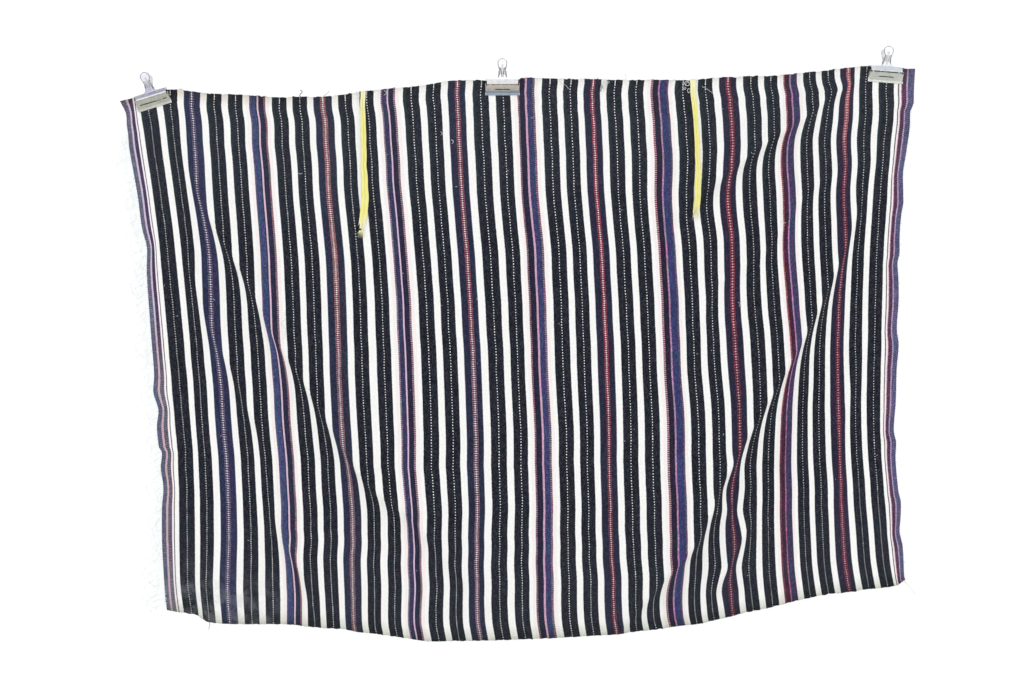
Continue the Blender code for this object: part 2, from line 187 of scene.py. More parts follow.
def gripped(x, z):
    share = 0 * x
    for _, cx, cz, tilt in CLIPS:
        a = math.radians(tilt)
        across = (x - cx) * math.cos(a) - (z - cz) * math.sin(a)
        above = (x - cx) * math.sin(a) + (z - cz) * math.cos(a)
        side = np.maximum(np.abs(across) - GRIP_SIDE, 0) / GRIP_FADE
        below = np.maximum(-GRIP_BELOW - above, 0) / GRIP_FADE
        share = np.maximum(share, np.exp(-(side**2 + below**2)))
    return share


def proud(x, z):
    """Distance of the cloth's middle from the wall."""
    out = smooth(LEAN, z) * np.exp(-(((x - LEAN_MIDDLE) / LEAN_REACH) ** 4))
    for side, rows in FOLDS.values():
        out = out + fold_height(x, z, side, rows)
    return WALL_GAP + out * (1 - gripped(x, z))


def drift(u, z):
    held = np.clip(z, DRIFT[-1][0], DRIFT[0][0])
    at_z = np.transpose([smooth([(row[0], row[1][k]) for row in DRIFT], held) for k in range(len(DRIFT_AT))])
    return np.array([np.interp(place, DRIFT_AT, at_z[i]) for i, place in enumerate(u)])


def calm(rows, z):
    """The edge without its short waves."""
    return float(np.mean(smooth(rows, z + np.arange(-56.0, 57.0, 8.0))))


def cloth_row(t, flat):
    """Points of the woven row at the share t of the height, at the given flat places across."""
    end_l, end_r = -41 - 737 * t, -25 - 741 * t
    x = np.linspace(calm(LEFT, end_l), calm(RIGHT, end_r), 1600)
    above, below = smooth(TOP, x), smooth(BOTTOM, x)
    z = above + (below - above) * t
    h = proud(x, z)
    length = np.concatenate([[0], np.cumsum(np.sqrt(np.diff(x) ** 2 + np.diff(z) ** 2 + np.diff(h) ** 2))])
    whole = length[-1]
    left, right = float(smooth(BORDER_LEFT, end_l)), float(smooth(BORDER_RIGHT, end_r))
    inner = np.interp([EDGE_LEFT, FLAT_WIDTH - EDGE_RIGHT], [0, FLAT_WIDTH], [0, whole])
    even = np.interp(length, [0, left, whole - right, whole], [0, inner[0], inner[1], whole])
    at = flat * whole / FLAT_WIDTH
    at = at - drift(flat, np.interp(at, even, z))
    # the frayed edges wave by themselves, in the borders only
    wave_l, wave_r = float(smooth(LEFT, end_l)) - x[0], float(smooth(RIGHT, end_r)) - x[-1]
    waves = wave_l * np.exp(-(flat / 17.0) ** 2) + wave_r * np.exp(-((FLAT_WIDTH - flat) / 17.0) ** 2)
    x, h, z = np.interp(at, even, x) + waves, np.interp(at, even, h), np.interp(at, even, z)
    for cx, cz, inward, half, tall in BUCKLES:
        away = (x - cx) / half
        near = np.exp(-(away / 2.2) ** 2 - ((z - cz) / tall) ** 2)
        x = x - inward * np.tanh(away) * near
        h = h + 0.6 * inward * near
    return x, h, z


# ================================================================ node graphs
def linear(colour):
    return tuple(v / 12.92 if v <= 0.04045 else ((v + 0.055) / 1.055) ** 2.4 for v in (c / 255 for c in colour))


class Finish:
    """A material's node tree, built with short calls. A value is a number, a colour or a socket."""

    def __init__(self, name, roughness=0.8, metallic=0.0, specular=0.5, sheen=0.0, sheen_roughness=0.5, anisotropy=0.0):
        self.material = bpy.data.materials.new(name)
        self.material.use_nodes = True
        self.tree = self.material.node_tree
        self.shader = self.tree.nodes["Principled BSDF"]
        for socket, value in (("Roughness", roughness), ("Metallic", metallic), ("Specular IOR Level", specular),
                              ("Sheen Weight", sheen), ("Sheen Roughness", sheen_roughness), ("Anisotropic", anisotropy)):
            self.shader.inputs[socket].default_value = value

    def node(self, kind, **inputs):
        made = self.tree.nodes.new(kind)
        for key, value in inputs.items():
            setattr(made, key, value)
        return made

    def put(self, socket, value):
        if isinstance(value, bpy.types.NodeSocket):
            self.tree.links.new(value, socket)
        elif isinstance(value, tuple) and len(value) == 3 and socket.type == "RGBA":
            socket.default_value = (*value, 1)
        else:
            socket.default_value = value

    def math(self, operation, a, b=0.0, c=0.0, clamp=False):
        made = self.node("ShaderNodeMath", operation=operation, use_clamp=clamp)
        for k, value in enumerate((a, b, c)):
            self.put(made.inputs[k], value)
        return made.outputs[0]

    def add(self, a, b):
        return self.math("ADD", a, b)

    def sub(self, a, b):
        return self.math("SUBTRACT", a, b)

    def mul(self, a, b):
        return self.math("MULTIPLY", a, b)

    def soft(self, value, low, high, to_low=0.0, to_high=1.0):
        made = self.node("ShaderNodeMapRange", interpolation_type="SMOOTHSTEP")
        for k, v in enumerate((value, low, high, to_low, to_high)):
            self.put(made.inputs[k], v)
        return made.outputs[0]

    def ramp(self, value, stops, mode="LINEAR"):
        """stops: place, colour; places run over any range."""
        low, high = stops[0][0], stops[-1][0]
        place = self.math("DIVIDE", self.sub(value, low), high - low, clamp=True)
        made = self.node("ShaderNodeValToRGB")
        made.color_ramp.interpolation = mode
        parts = made.color_ramp.elements
        while len(parts) < len(stops):
            parts.new(1.0)
        for part, (at, colour) in zip(parts, stops):
            part.position = (at - low) / (high - low)
            part.color = (*linear(colour), 1)
        self.put(made.inputs[0], place)
        return made.outputs[0]

    def mix(self, share, a, b, blend="MIX"):
        made = self.node("ShaderNodeMix", data_type="RGBA", blend_type=blend)
        self.put(made.inputs["Factor"], share)
        self.put(made.inputs[6], a)
        self.put(made.inputs[7], b)
        return made.outputs[2]

    def combine(self, x=0.0, y=0.0, z=0.0):
        made = self.node("ShaderNodeCombineXYZ")
        for k, value in enumerate((x, y, z)):
            self.put(made.inputs[k], value)
        return made.outputs[0]

    def split(self, vector):
        made = self.node("ShaderNodeSeparateXYZ")
        self.put(made.inputs[0], vector)
        return made.outputs

    def uv(self, name):
        return self.split(self.node("ShaderNodeUVMap", uv_map=name).outputs[0])

    def object_place(self):
        return self.node("ShaderNodeTexCoord").outputs["Object"]

    def noise(self, vector, scale=1.0, detail=2.0, rough=0.5):
        made = self.node("ShaderNodeTexNoise", noise_dimensions="3D")
        self.put(made.inputs["Vector"], vector)
        made.inputs["Scale"].default_value = scale
        made.inputs["Detail"].default_value = detail
        made.inputs["Roughness"].default_value = rough
        return made.outputs[0]

    def cells(self, vector, scale=1.0):
        made = self.node("ShaderNodeTexVoronoi")
        self.put(made.inputs["Vector"], vector)
        made.inputs["Scale"].default_value = scale
        return made.outputs

    def random(self, vector):
        """A value and a colour, unlike for each whole-numbered place."""
        made = self.node("ShaderNodeTexWhiteNoise", noise_dimensions="3D")
        self.put(made.inputs["Vector"], vector)
        return made.outputs

    def bump(self, height, distance, strength=1.0):
        made = self.node("ShaderNodeBump")
        made.inputs["Strength"].default_value = strength
        made.inputs["Distance"].default_value = distance
        self.put(made.inputs["Height"], height)
        self.put(self.shader.inputs["Normal"], made.outputs[0])

    def colour(self, value):
        self.put(self.shader.inputs["Base Color"], value)

    def roughness(self, value):
        self.put(self.shader.inputs["Roughness"], value)


# ================================================================ woven finishes
WHITE = (249, 248, 246)
PINKISH = (248, 240, 239)
COAL = (37, 40, 49)


def edges(start, bands, which, soft=0.5):
    """Stops of a ramp for bands of (width, colour, tick colour): which is 1 for the colour, 2 for the tick."""
    stops, at = [(start, bands[0][which] or bands[0][1])], start
    for k, band in enumerate(bands):
        colour = band[which] or band[1]
        if k:
            stops.append((at + soft / 2, colour))
        at += band[0]
        stops.append((at - (soft / 2 if k < len(bands) - 1 else 0), colour))
    return stops


def wool(name, bands, start, low=None, change=(400, 520), pitch=0.76, duty=0.5, dots=None, low_dots=None, seed=0.0,
         green=False, lively=0.45):
    """One kind of warp stripe. bands and low are (width, colour, tick colour or None) from left to right, for the
    upper and the lower part of the cloth; pitch is the ticks' share of a weft pair.
    dots: x, half width, colour, share of a weft pair from one to the next, half length as a share of that, strength.
    lively: how unlike the floats of one colour are."""
    f = Finish(name, roughness=0.9, specular=0.08, sheen=0.02, sheen_roughness=0.6)
    x0, y, _ = f.uv("weave")           # mm from the stripe's middle, mm down the warp, each stripe far from the next
    u, v, _ = f.uv("place")            # mm across and down the flat cloth
    # number of the weft pair, shared by all stripes: closer together at the left and near the lower end
    slow = f.noise(f.combine(f.mul(u, 1 / 400), f.mul(v, 1 / 150), 0.5), 1.0, 1.0)
    weft = f.add(f.mul(f.mul(v, 1 / 4.0), f.soft(u, 520, 0, 1.0, 1.08)),
                 f.add(f.mul(slow, 2.5), f.mul(f.math("MAXIMUM", f.sub(v, 620.0), 0.0), 0.035)))
    # the edge of a stripe wanders a little and is toothed by the weft
    wander = f.sub(f.noise(f.combine(seed, f.mul(y, 1 / 60), 0.0), 1.0, 2.0), 0.5)
    tooth = f.sub(f.noise(f.combine(f.mul(x0, 0.25), f.mul(y, 1 / 1.5), seed), 1.0, 1.0), 0.5)
    x = f.add(f.mul(x0, 1.0 if name.startswith("wool_border") else 0.965), f.add(f.mul(wander, 0.7), f.mul(tooth, 0.7)))
    shade = f.ramp(x, edges(start, bands, 1))
    if low:
        turn = f.soft(f.add(v, f.mul(f.sub(f.noise(f.combine(u, f.mul(v, 1 / 40), 0.0), 1.0), 0.5), 160)), *change)
        shade = f.mix(turn, shade, f.ramp(x, edges(start, low, 1)))
    if any(b[2] for b in bands):
        tick = f.ramp(x, edges(start, bands, 2))
        if low:
            tick = f.mix(turn, tick, f.ramp(x, edges(start, low, 2)))
        wave = f.math("ABSOLUTE", f.sub(f.math("FRACT", f.mul(weft, 1 / pitch)), 0.5))     # 0 in the middle of a tick
        varied = f.add(duty / 2, f.mul(f.sub(f.noise(f.combine(seed + 7, f.mul(y, 1 / 9), 0.0), 1.0), 0.5), 0.2))
        share = f.soft(wave, f.add(varied, 0.08), f.sub(varied, 0.08))
        shade = f.mix(share, shade, tick)
    if dots:
        at, half, dot_colour, ratio, full, strength = dots
        run = f.mul(weft, 1 / ratio)
        gap = f.math("ABSOLUTE", f.sub(f.math("FRACT", run), 0.5))        # 0 in the middle of a dot
        each = f.math("FLOOR", run)
        # stretches where the two pale warps show side by side, so that the row turns into a thin line
        along = f.noise(f.combine(seed + 17, f.mul(y, 1 / 42), 0.0), 1.0, 1.0)
        ends = f.mul(f.soft(v, 12, 3), 0.7)
        size = f.add(f.add(full, f.mul(f.sub(f.random(f.combine(seed, each, f.math("FLOOR", f.mul(y, 0.001))))[0], 0.5), 0.09)),
                     f.add(f.soft(along, 0.66, 0.74, 0.0, 0.25), f.mul(ends, 0.6)))
        sway = f.mul(f.sub(f.noise(f.combine(seed + 29, f.mul(y, 1 / 30), 0.0), 1.0, 1.0), 0.5), 1.8)
        aside = f.math("DIVIDE", f.sub(f.sub(x0, at), sway), f.sub(half, f.mul(ends, half * 0.3)))
        reach = f.math("DIVIDE", gap, size)
        far = f.math("SQRT", f.add(f.mul(aside, aside), f.mul(reach, reach)))
        dot = f.soft(far, 1.22, 0.82)
        faint = f.soft(f.noise(f.combine(seed + 31, f.mul(y, 1 / 11), 4.0), 1.0, 1.0), 0.34, 0.56, strength * 0.55, strength)
        outer = f.mul(f.soft(u, 790, 900, 1.0, 0.74), f.soft(u, 95, 30, 1.0, 0.72))
        ink = linear(dot_colour)
        if low_dots:
            ink = f.mix(turn, ink, linear(low_dots))
        shade = f.mix(f.mul(f.mul(dot, faint), outer), shade, ink)
    # yarn: each float of each yarn takes the light and the dye in its own way
    yarn_at = f.math("FLOOR", f.mul(u, 1 / 1.0))
    float_at = f.math("FLOOR", f.add(f.mul(weft, 2.0), f.mul(yarn_at, 0.5)))
    fleck = f.random(f.combine(yarn_at, float_at, seed))
    streak = f.noise(f.combine(f.mul(u, 1 / 0.9), f.mul(v, 1 / 7), 0.0), 1.0, 2.0, 0.6)
    grain = f.noise(f.combine(f.mul(u, 1 / 0.8), f.mul(v, 1 / 1.1), 5.0), 1.0, 2.0, 0.7)
    broad = f.noise(f.combine(f.mul(u, 1 / 16), f.mul(v, 1 / 60), 9.0), 1.0, 3.0, 0.55)
    hue = f.noise(f.combine(f.mul(u, 1 / 9), f.mul(v, 1 / 45), 21.0), 1.0, 3.0, 0.6)
    light = f.node("ShaderNodeRGBToBW")
    f.put(light.inputs[0], shade)
    pale = f.soft(light.outputs[0], 0.22, 0.6)
    dark = f.sub(1.0, pale)
    fleck_tone = f.add(1.0 - 0.60 * lively, f.mul(f.mul(fleck[0], fleck[0]), 1.75 * lively))
    tone = f.mul(fleck_tone, f.add(1.0, f.add(f.mul(f.sub(streak, 0.5), 0.5), f.mul(f.sub(broad, 0.5), 0.7))))
    tone = f.add(f.mul(f.sub(tone, 1.0), f.add(f.mul(dark, 0.94), 0.05)), 1.0)
    scale = f.node("ShaderNodeVectorMath", operation="SCALE")
    f.put(scale.inputs[0], shade)
    f.put(scale.inputs[3], tone)
    shade = scale.outputs[0]
    # uneven dye: a touch of green, violet or brown along the yarns, and a tint of its own for each float
    dyes = f.ramp(f.soft(hue, 0.3, 0.7), [(0.0, (232, 254, 250)), (0.5, (250, 250, 250)), (1.0, (255, 240, 250))])
    shade = f.mix(dark, shade, f.mix(1.0, shade, dyes, "MULTIPLY"))
    shade = f.mix(f.mul(dark, 0.3 * lively), shade,
                  f.mix(1.0, shade, f.mix(1.0, fleck[1], (2.0, 2.0, 2.0), "MULTIPLY"), "MULTIPLY"))
    # the dark yarns have faded to grey near the two ends
    faded = f.add(f.soft(v, 250, 60), f.mul(f.soft(v, 590, 740), 0.7))
    shade = f.mix(f.mul(f.mul(faded, dark), 0.10), shade, linear((82, 88, 96)))
    if name.startswith("wool_split"):
        mottle = f.ramp(f.soft(f.noise(f.combine(f.mul(u, 1 / 5), f.mul(v, 1 / 26), seed + 40), 1.0, 3.0, 0.6), 0.36, 0.64),
                        [(0.0, (222, 255, 246)), (0.5, (246, 246, 250)), (1.0, (255, 228, 255))])
        shade = f.mix(dark, shade, f.mix(1.0, shade, mottle, "MULTIPLY"))
    if green:
        edge = f.mul(f.soft(x, -5.0, -9.0), f.soft(v, 300, 40))
        shade = f.mix(f.mul(f.mul(edge, dark), 0.7), shade, linear((46, 62, 64)))
    specks = f.soft(f.noise(f.combine(f.mul(u, 1 / 1.3), f.mul(v, 1 / 1.9), 14.0), 1.0, 1.0, 0.8), 0.745, 0.80)
    shade = f.mix(f.mul(specks, f.mul(dark, 0.22)), shade, linear((176, 176, 178)))
    # the upper and lower ends are darker: soil and painted shade along both edges; the lower left corner is dusty
    soil_and_shade_top = f.mul(f.soft(f.add(v, f.mul(f.sub(grain, 0.5), 8.0)), 20, 3), f.soft(f.add(u, f.mul(broad, 120)), 420, 190, 0.3, 1.0))
    shade = f.mix(soil_and_shade_top, shade, f.mix(1.0, shade, linear((231, 224, 215)), "MULTIPLY"))
    soil_and_shade_low = f.soft(f.add(v, f.mul(f.sub(broad, 0.5), 14.0)), FLAT_LENGTH - 24, FLAT_LENGTH - 2)
    shade = f.mix(soil_and_shade_low, shade, f.mix(1.0, shade, linear((226, 228, 220)), "MULTIPLY"))
    cloud = f.noise(f.combine(f.mul(u, 1 / 20), f.mul(v, 1 / 20), 3.0), 1.0, 4.0, 0.65)
    corner = f.mul(f.soft(u, 200, 120), f.soft(v, FLAT_LENGTH - 100, FLAT_LENGTH - 20))
    veil = f.mul(f.mul(corner, f.soft(cloud, 0.38, 0.66, 0.0, 0.27)), f.soft(grain, 0.3, 0.7, 0.5, 1.4))
    shade = f.mix(veil, shade, linear((158, 160, 164)))
    f.colour(shade)
    # ribs of the warp, each yarn floating over the weft in turn
    rib = f.math("ABSOLUTE", f.math("SINE", f.mul(u, math.pi)))
    beat = f.math("ABSOLUTE", f.math("SINE", f.mul(f.add(f.mul(weft, 2.0), f.mul(yarn_at, 0.5)), math.pi)))
    f.bump(f.add(f.mul(rib, f.add(0.5, f.mul(beat, 0.5))), f.mul(streak, 0.7)), 0.00022, 0.55)
    f.roughness(f.soft(streak, 0.2, 0.8, 0.96, 0.82))
    return f.material


def band(name, seed, sides, span, ground, dots, low=None, low_dots=None, rim=(65, 72, 92), **more):
    """A stripe with a ladder of weft-wide ticks between two sides. span: where the ladder starts and ends, as shares of
    the stripe's width; ground and low: the ladder's two colours; dots: half width, colour, pitch, half length, strength."""
    whole = 23.4
    a, b = span[0] * whole, span[1] * whole
    left, right = sides if isinstance(sides[0], tuple) else (sides, sides)

    def rows(pair):
        return [(7.3, WHITE, None), (1.0, rim, None), (a - 1.0, left, None), (b - a, pair[0], pair[1]),
                (whole - b - 1.0, right, None), (1.0, rim, None), (7.3, WHITE, None)]

    half, colour, ratio, full, strength = dots
    return wool(name, rows(ground), -19.0, low=rows(low) if low else None, seed=seed, pitch=ratio,
                dots=((a + b - whole) / 2, half, colour, ratio, full, strength), low_dots=low_dots, **more)


def split_stripe(name, seed, parts, low=None, **more):
    """A stripe of unlike bands, each with the share of the stripe's width where it ends, its colour and tick colour."""
    def rows(p):
        out, at = [(8.0, PINKISH, None)], 0.0
        for end, colour, tick in p:
            out.append(((end - at) * 22.0, colour, tick))
            at = end
        return [*out, (8.0, PINKISH, None)]
    return wool(name, rows(parts), -19.0, low=rows(low) if low else None, seed=seed, **more)


def cloth_finishes():
    made = {}
    made["dots"] = wool("wool_dark_dots", [(8.0, WHITE, None), (20.0, COAL, None), (8.0, WHITE, None)], -18.0,
                        dots=(0.2, 0.68, (253, 253, 253), 1.0, 0.20, 1.0), seed=1.0, green=True, lively=0.85)
    made["band_1"] = band("wool_band_mauve", 41.0, ((46, 52, 80), (52, 52, 82)), (0.34, 0.62), ((72, 60, 90), (112, 104, 126)),
                          (0.95, (240, 236, 240), 0.95, 0.23, 1.0))
    made["band_2"] = band("wool_band_salmon", 42.0, ((46, 50, 72), (50, 50, 68)), (0.36, 0.64), ((112, 58, 72), (172, 128, 130)),
                          (0.95, (252, 240, 236), 0.76, 0.26, 1.0), low=((96, 62, 80), (146, 120, 128)),
                          low_dots=(240, 232, 232), change=(300, 420))
    made["band_3"] = band("wool_band_rose", 43.0, (44, 46, 68), (0.40, 0.68), ((104, 46, 66), (152, 100, 110)),
                          (0.95, (250, 240, 242), 0.78, 0.26, 1.0), low=((98, 64, 84), (148, 124, 134)),
                          low_dots=(246, 240, 242), change=(320, 440))
    made["band_4"] = band("wool_band_red", 44.0, (44, 44, 64), (0.40, 0.66), ((122, 44, 58), (146, 80, 94)),
                          (0.95, (252, 232, 236), 0.78, 0.26, 1.0), low=((96, 42, 56), (120, 72, 86)),
                          low_dots=(240, 206, 214), change=(420, 540))
    made["band_5"] = band("wool_band_crimson", 45.0, (46, 42, 62), (0.38, 0.66), ((116, 42, 56), (132, 70, 84)),
                          (0.95, (246, 212, 220), 1.0, 0.22, 1.0), low=((90, 42, 56), (106, 62, 76)),
                          low_dots=(228, 190, 200), change=(340, 460))
    made["band_6"] = band("wool_band_plum", 46.0, (48, 42, 62), (0.42, 0.70), ((160, 90, 98), (192, 126, 128)),
                          (0.95, (246, 218, 218), 0.95, 0.22, 1.0), low=((102, 42, 58), (116, 64, 78)),
                          low_dots=(234, 196, 208), change=(60, 150))
    made["split_1"] = split_stripe("wool_split_blue", 51.0, [
        (0.09, (112, 104, 128), (84, 84, 112)), (0.40, (72, 80, 118), None), (0.465, (56, 54, 80), None),
        (0.565, (222, 192, 208), None), (0.885, (52, 50, 72), None), (1.0, (176, 142, 142), (106, 74, 88))])
    made["split_2"] = split_stripe("wool_split_violet", 52.0, [
        (0.10, (180, 162, 168), (92, 68, 92)), (0.42, (64, 62, 92), None), (0.52, (218, 190, 212), None),
        (0.87, (50, 45, 66), None), (1.0, (190, 162, 168), (94, 60, 80))], change=(420, 560))
    made["split_3"] = split_stripe("wool_split_navy", 53.0, [
        (0.10, (172, 138, 142), (96, 56, 70)), (0.43, (46, 42, 64), None), (0.545, (212, 168, 190), None),
        (0.88, (68, 70, 110), None), (1.0, (162, 138, 146), (98, 66, 84))])
    made["split_4"] = split_stripe("wool_split_plum", 54.0, [
        (0.12, (202, 168, 172), (112, 50, 62)), (0.43, (48, 40, 60), None), (0.52, (188, 142, 172), None),
        (0.90, (64, 68, 110), None), (1.0, (120, 106, 120), (82, 68, 92))])
    made["split_5"] = split_stripe("wool_split_wine", 55.0, [
        (0.11, (198, 128, 122), (124, 52, 62)), (0.44, (76, 44, 66), None), (0.545, (188, 142, 180), None),
        (1.0, (72, 66, 98), None)], low=[
        (0.14, (140, 84, 100), (100, 44, 58)), (0.44, (74, 44, 62), None), (0.535, (176, 108, 140), None),
        (1.0, (70, 64, 94), None)], change=(430, 560))
    # borders, from the outer edge inwards
    made["border_left"] = wool("wool_border_left", [
        (7.2, (80, 84, 104), (128, 126, 146)), (3.0, (220, 206, 228), (188, 172, 198)), (5.8, (66, 50, 76), (88, 74, 96)),
        (2.6, (250, 238, 250), None), (1.5, (70, 68, 74), (120, 118, 124)), (5.4, WHITE, None)], 0.0,
        low=[(6.8, (70, 74, 98), (118, 118, 140)), (3.2, (222, 190, 198), (180, 150, 160)),
             (6.2, (76, 70, 90), (124, 120, 134)), (2.7, (250, 238, 240), None), (1.5, (62, 62, 66), (110, 110, 112)),
             (5.3, WHITE, None)], change=(330, 440), seed=61.0)
    made["border_right"] = wool("wool_border_right", [
        (7.2, (82, 78, 114), (104, 102, 136)), (1.9, (198, 178, 206), (150, 130, 160)), (5.0, (82, 50, 76), (98, 66, 92)),
        (1.0, (184, 146, 156), None), (2.2, (246, 232, 238), None), (1.6, (64, 62, 66), (124, 118, 122)), (3.1, WHITE, None)],
        0.0, seed=62.0)
    return made


# ================================================================ making meshes
def link(name, mesh, materials):
    obj = bpy.data.objects.new(name, mesh)
    for finish in materials:
        mesh.materials.append(finish)
    scene.collection.objects.link(obj)
    return obj


def pucker(x, z):
    """Small unevenness of the hand-woven sheet: long along the warp, short across it."""
    broad = noise.noise(Vector((x / 60, 2.0, z / 160)))
    fine = noise.noise(Vector((x / 15, 7.0, z / 40))) * 0.3
    return broad + fine


ROWS = 118


def cloth_columns():
    """Flat places across of the mesh's columns, and for each face column its cell and the cell's drawn places."""
    cells = [("border_left", 0.0, EDGE_LEFT - RIM)]
    at = EDGE_LEFT
    for k, (kind, wide, gap) in enumerate(STRIPES):
        before = RIM if k == 0 else STRIPES[k - 1][2] / 2
        after = gap / 2 if gap else RIM
        cells.append((kind, at - before, at + wide + after))
        at += wide + gap
    cells.append(("border_right", at + RIM, FLAT_WIDTH))
    places, faces = [0.0], []
    at = EDGE_LEFT
    for k, (kind, low, high) in enumerate(cells):
        count = 4 if kind.startswith("border") else 10
        if kind == "border_left":
            drawn = lambda p, high=high: p / high * 25.5
        elif kind == "border_right":
            drawn = lambda p, low=low: (FLAT_WIDTH - p) / (FLAT_WIDTH - low) * 22.0
        else:
            wide, gap = STRIPES[k - 1][1:]
            middle, half, nominal = at + wide / 2, wide / 2, HALF[kind.split("_")[0]]
            drawn = lambda p, middle=middle, half=half, nominal=nominal: (p - middle) / half * nominal
            at += wide + gap
        steps = np.linspace(low, high, count + 1)
        for i in range(count):
            faces.append((k, kind, drawn(steps[i]), drawn(steps[i + 1])))
            places.append(float(steps[i + 1]))
    return np.array(places), faces


def make_cloth():
    places, faces = cloth_columns()
    columns = len(faces)
    work = bmesh.new()
    bmesh.ops.create_grid(work, x_segments=columns, y_segments=ROWS, size=1)
    work.verts.ensure_lookup_table()
    found = {}
    for vert in work.verts:
        found[round((vert.co.x + 1) / 2 * columns), round((1 - vert.co.y) / 2 * ROWS)] = vert
    key = {vert: place for place, vert in found.items()}
    for j in range(ROWS + 1):
        t = j / ROWS
        x, h, z = cloth_row(t, places)
        free = 1 - gripped(x, z)
        curl = 7.0 * np.exp(-((1 - t) * FLAT_LENGTH / 22.0) ** 1.5) if t > 0.8 else 0.0
        for i in range(columns + 1):
            out = h[i] + pucker(x[i], z[i]) * free[i] - curl * (h[i] - 5) / 20
            found[i, j].co = (x[i] * MM, -max(out, 4.0) * MM, z[i] * MM)
    weave = work.loops.layers.uv.new("weave")
    place = work.loops.layers.uv.new("place")
    bake = work.loops.layers.uv.new("OFBake")
    kinds = sorted({kind for _, kind, _, _ in faces})
    for i in range(columns + 1):           # each stripe ends a little higher or lower than its neighbours
        cell = faces[min(i, columns - 1)][0]
        rough = (random(cell, 3) - 0.5) * 1.6 + 1.6 * noise.noise(Vector((places[i] / 5.0, 11.0, 0.0)))
        for j, share in ((0, 1.0), (1, 0.35)):
            found[i, j].co.z += rough * share * MM
        rough = (random(cell, 4) - 0.5) * 1.0 + 1.2 * noise.noise(Vector((places[i] / 6.0, 17.0, 0.0)))
        for j, share in ((ROWS, 1.0), (ROWS - 1, 0.35)):
            found[i, j].co.z += rough * share * MM
    for face in work.faces:
        i = min(key[v][0] for v in face.verts)
        cell, kind, start, end = faces[i]
        face.material_index = kinds.index(kind)
        face.smooth = True
        for loop in face.loops:
            a, b = key[loop.vert]
            down = b / ROWS * FLAT_LENGTH
            loop[weave].uv = (start if a == i else end, down + 1000 * (cell + 1))
            loop[place].uv = (places[a], down)
            loop[bake].uv = (0.004 + 0.992 * places[a] / FLAT_WIDTH, 0.996 - 0.992 * b / ROWS)
    bmesh.ops.recalc_face_normals(work, faces=work.faces)
    mesh = bpy.data.meshes.new("woven_cloth")
    work.to_mesh(mesh)
    work.free()
    finishes = cloth_finishes()
    cloth = link("woven_cloth", mesh, [finishes[kind] for kind in kinds])
    shell = cloth.modifiers.new("Thickness", "SOLIDIFY")
    shell.thickness = VISUAL_SHEET * MM
    shell.offset = 0
    return cloth


def tube(work, points, radius, sides=5, taper=1.0, material=0):
    """A round thread along the points (mm), its end thinned to the share taper."""
    points = [Vector(p) for p in points]
    rings, side = [], None
    for k, p in enumerate(points):
        ahead = (points[min(k + 1, len(points) - 1)] - points[max(k - 1, 0)]).normalized()
        if side is None:
            side = ahead.orthogonal().normalized()
        side = (side - ahead * side.dot(ahead)).normalized()
        other = ahead.cross(side)
        wide = radius * (1 + (taper - 1) * k / (len(points) - 1))
        rings.append([work.verts.new((p + (side * math.cos(a) + other * math.sin(a)) * wide) * MM)
                      for a in (2 * math.pi * m / sides for m in range(sides))])
    for a, b in zip(rings, rings[1:]):
        for m in range(sides):
            face = work.faces.new((a[m], a[(m + 1) % sides], b[(m + 1) % sides], b[m]))
            face.smooth = True
            face.material_index = material
    for ring, flip in ((rings[0], True), (rings[-1], False)):
        face = work.faces.new(ring[::-1] if flip else ring)
        face.material_index = material


def curve_through(points, steps=6):
    """Points of a smooth curve through the given ones."""
    pts = [Vector(p) for p in points]
    pts = [2 * pts[0] - pts[1], *pts, 2 * pts[-1] - pts[-2]]
    out = []
    for k in range(1, len(pts) - 2):
        a, b, c, d = pts[k - 1:k + 3]
        for m in range(steps):
            t = m / steps
            out.append(0.5 * ((2 * b) + (c - a) * t + (2 * a - 5 * b + 4 * c - d) * t**2 + (3 * b - a - 3 * c + d) * t**3))
    return [*out, pts[-2]]


def random(k, salt=0.0):
    """A fixed value from 0 to 1 for the number k."""
    value = math.sin(k * 12.9898 + salt * 78.233) * 43758.5453
    return value - math.floor(value)


def finish_mesh(work, name, materials):
    bmesh.ops.recalc_face_normals(work, faces=work.faces)
    mesh = bpy.data.meshes.new(name)
    work.to_mesh(mesh)
    work.free()
    return link(name, mesh, materials)


# ================================================================ fringe and fuzz
def edge_points(side):
    """Points of the cloth's left (0) or right (1) edge, from top to bottom."""
    place = np.array([0.0 if side == 0 else FLAT_WIDTH])
    return [tuple(float(v[0]) for v in cloth_row(j / 60, place)) for j in range(61)]


def along(edge, z):
    heights = [-p[2] for p in edge]
    return [float(np.interp(-z, heights, [p[k] for p in edge])) for k in (0, 1)]


def yarn_finish(name, colours, roughness=0.9):
    f = Finish(name, roughness=roughness, specular=0.2, sheen=0.25)
    place = f.object_place()
    tone = f.noise(place, 60.0, 2.0)
    f.colour(f.ramp(f.soft(tone, 0.3, 0.7), [(k / (len(colours) - 1), c) for k, c in enumerate(colours)]))
    f.bump(f.noise(place, 2600.0, 2.0), 0.0002, 0.5)
    return f.material


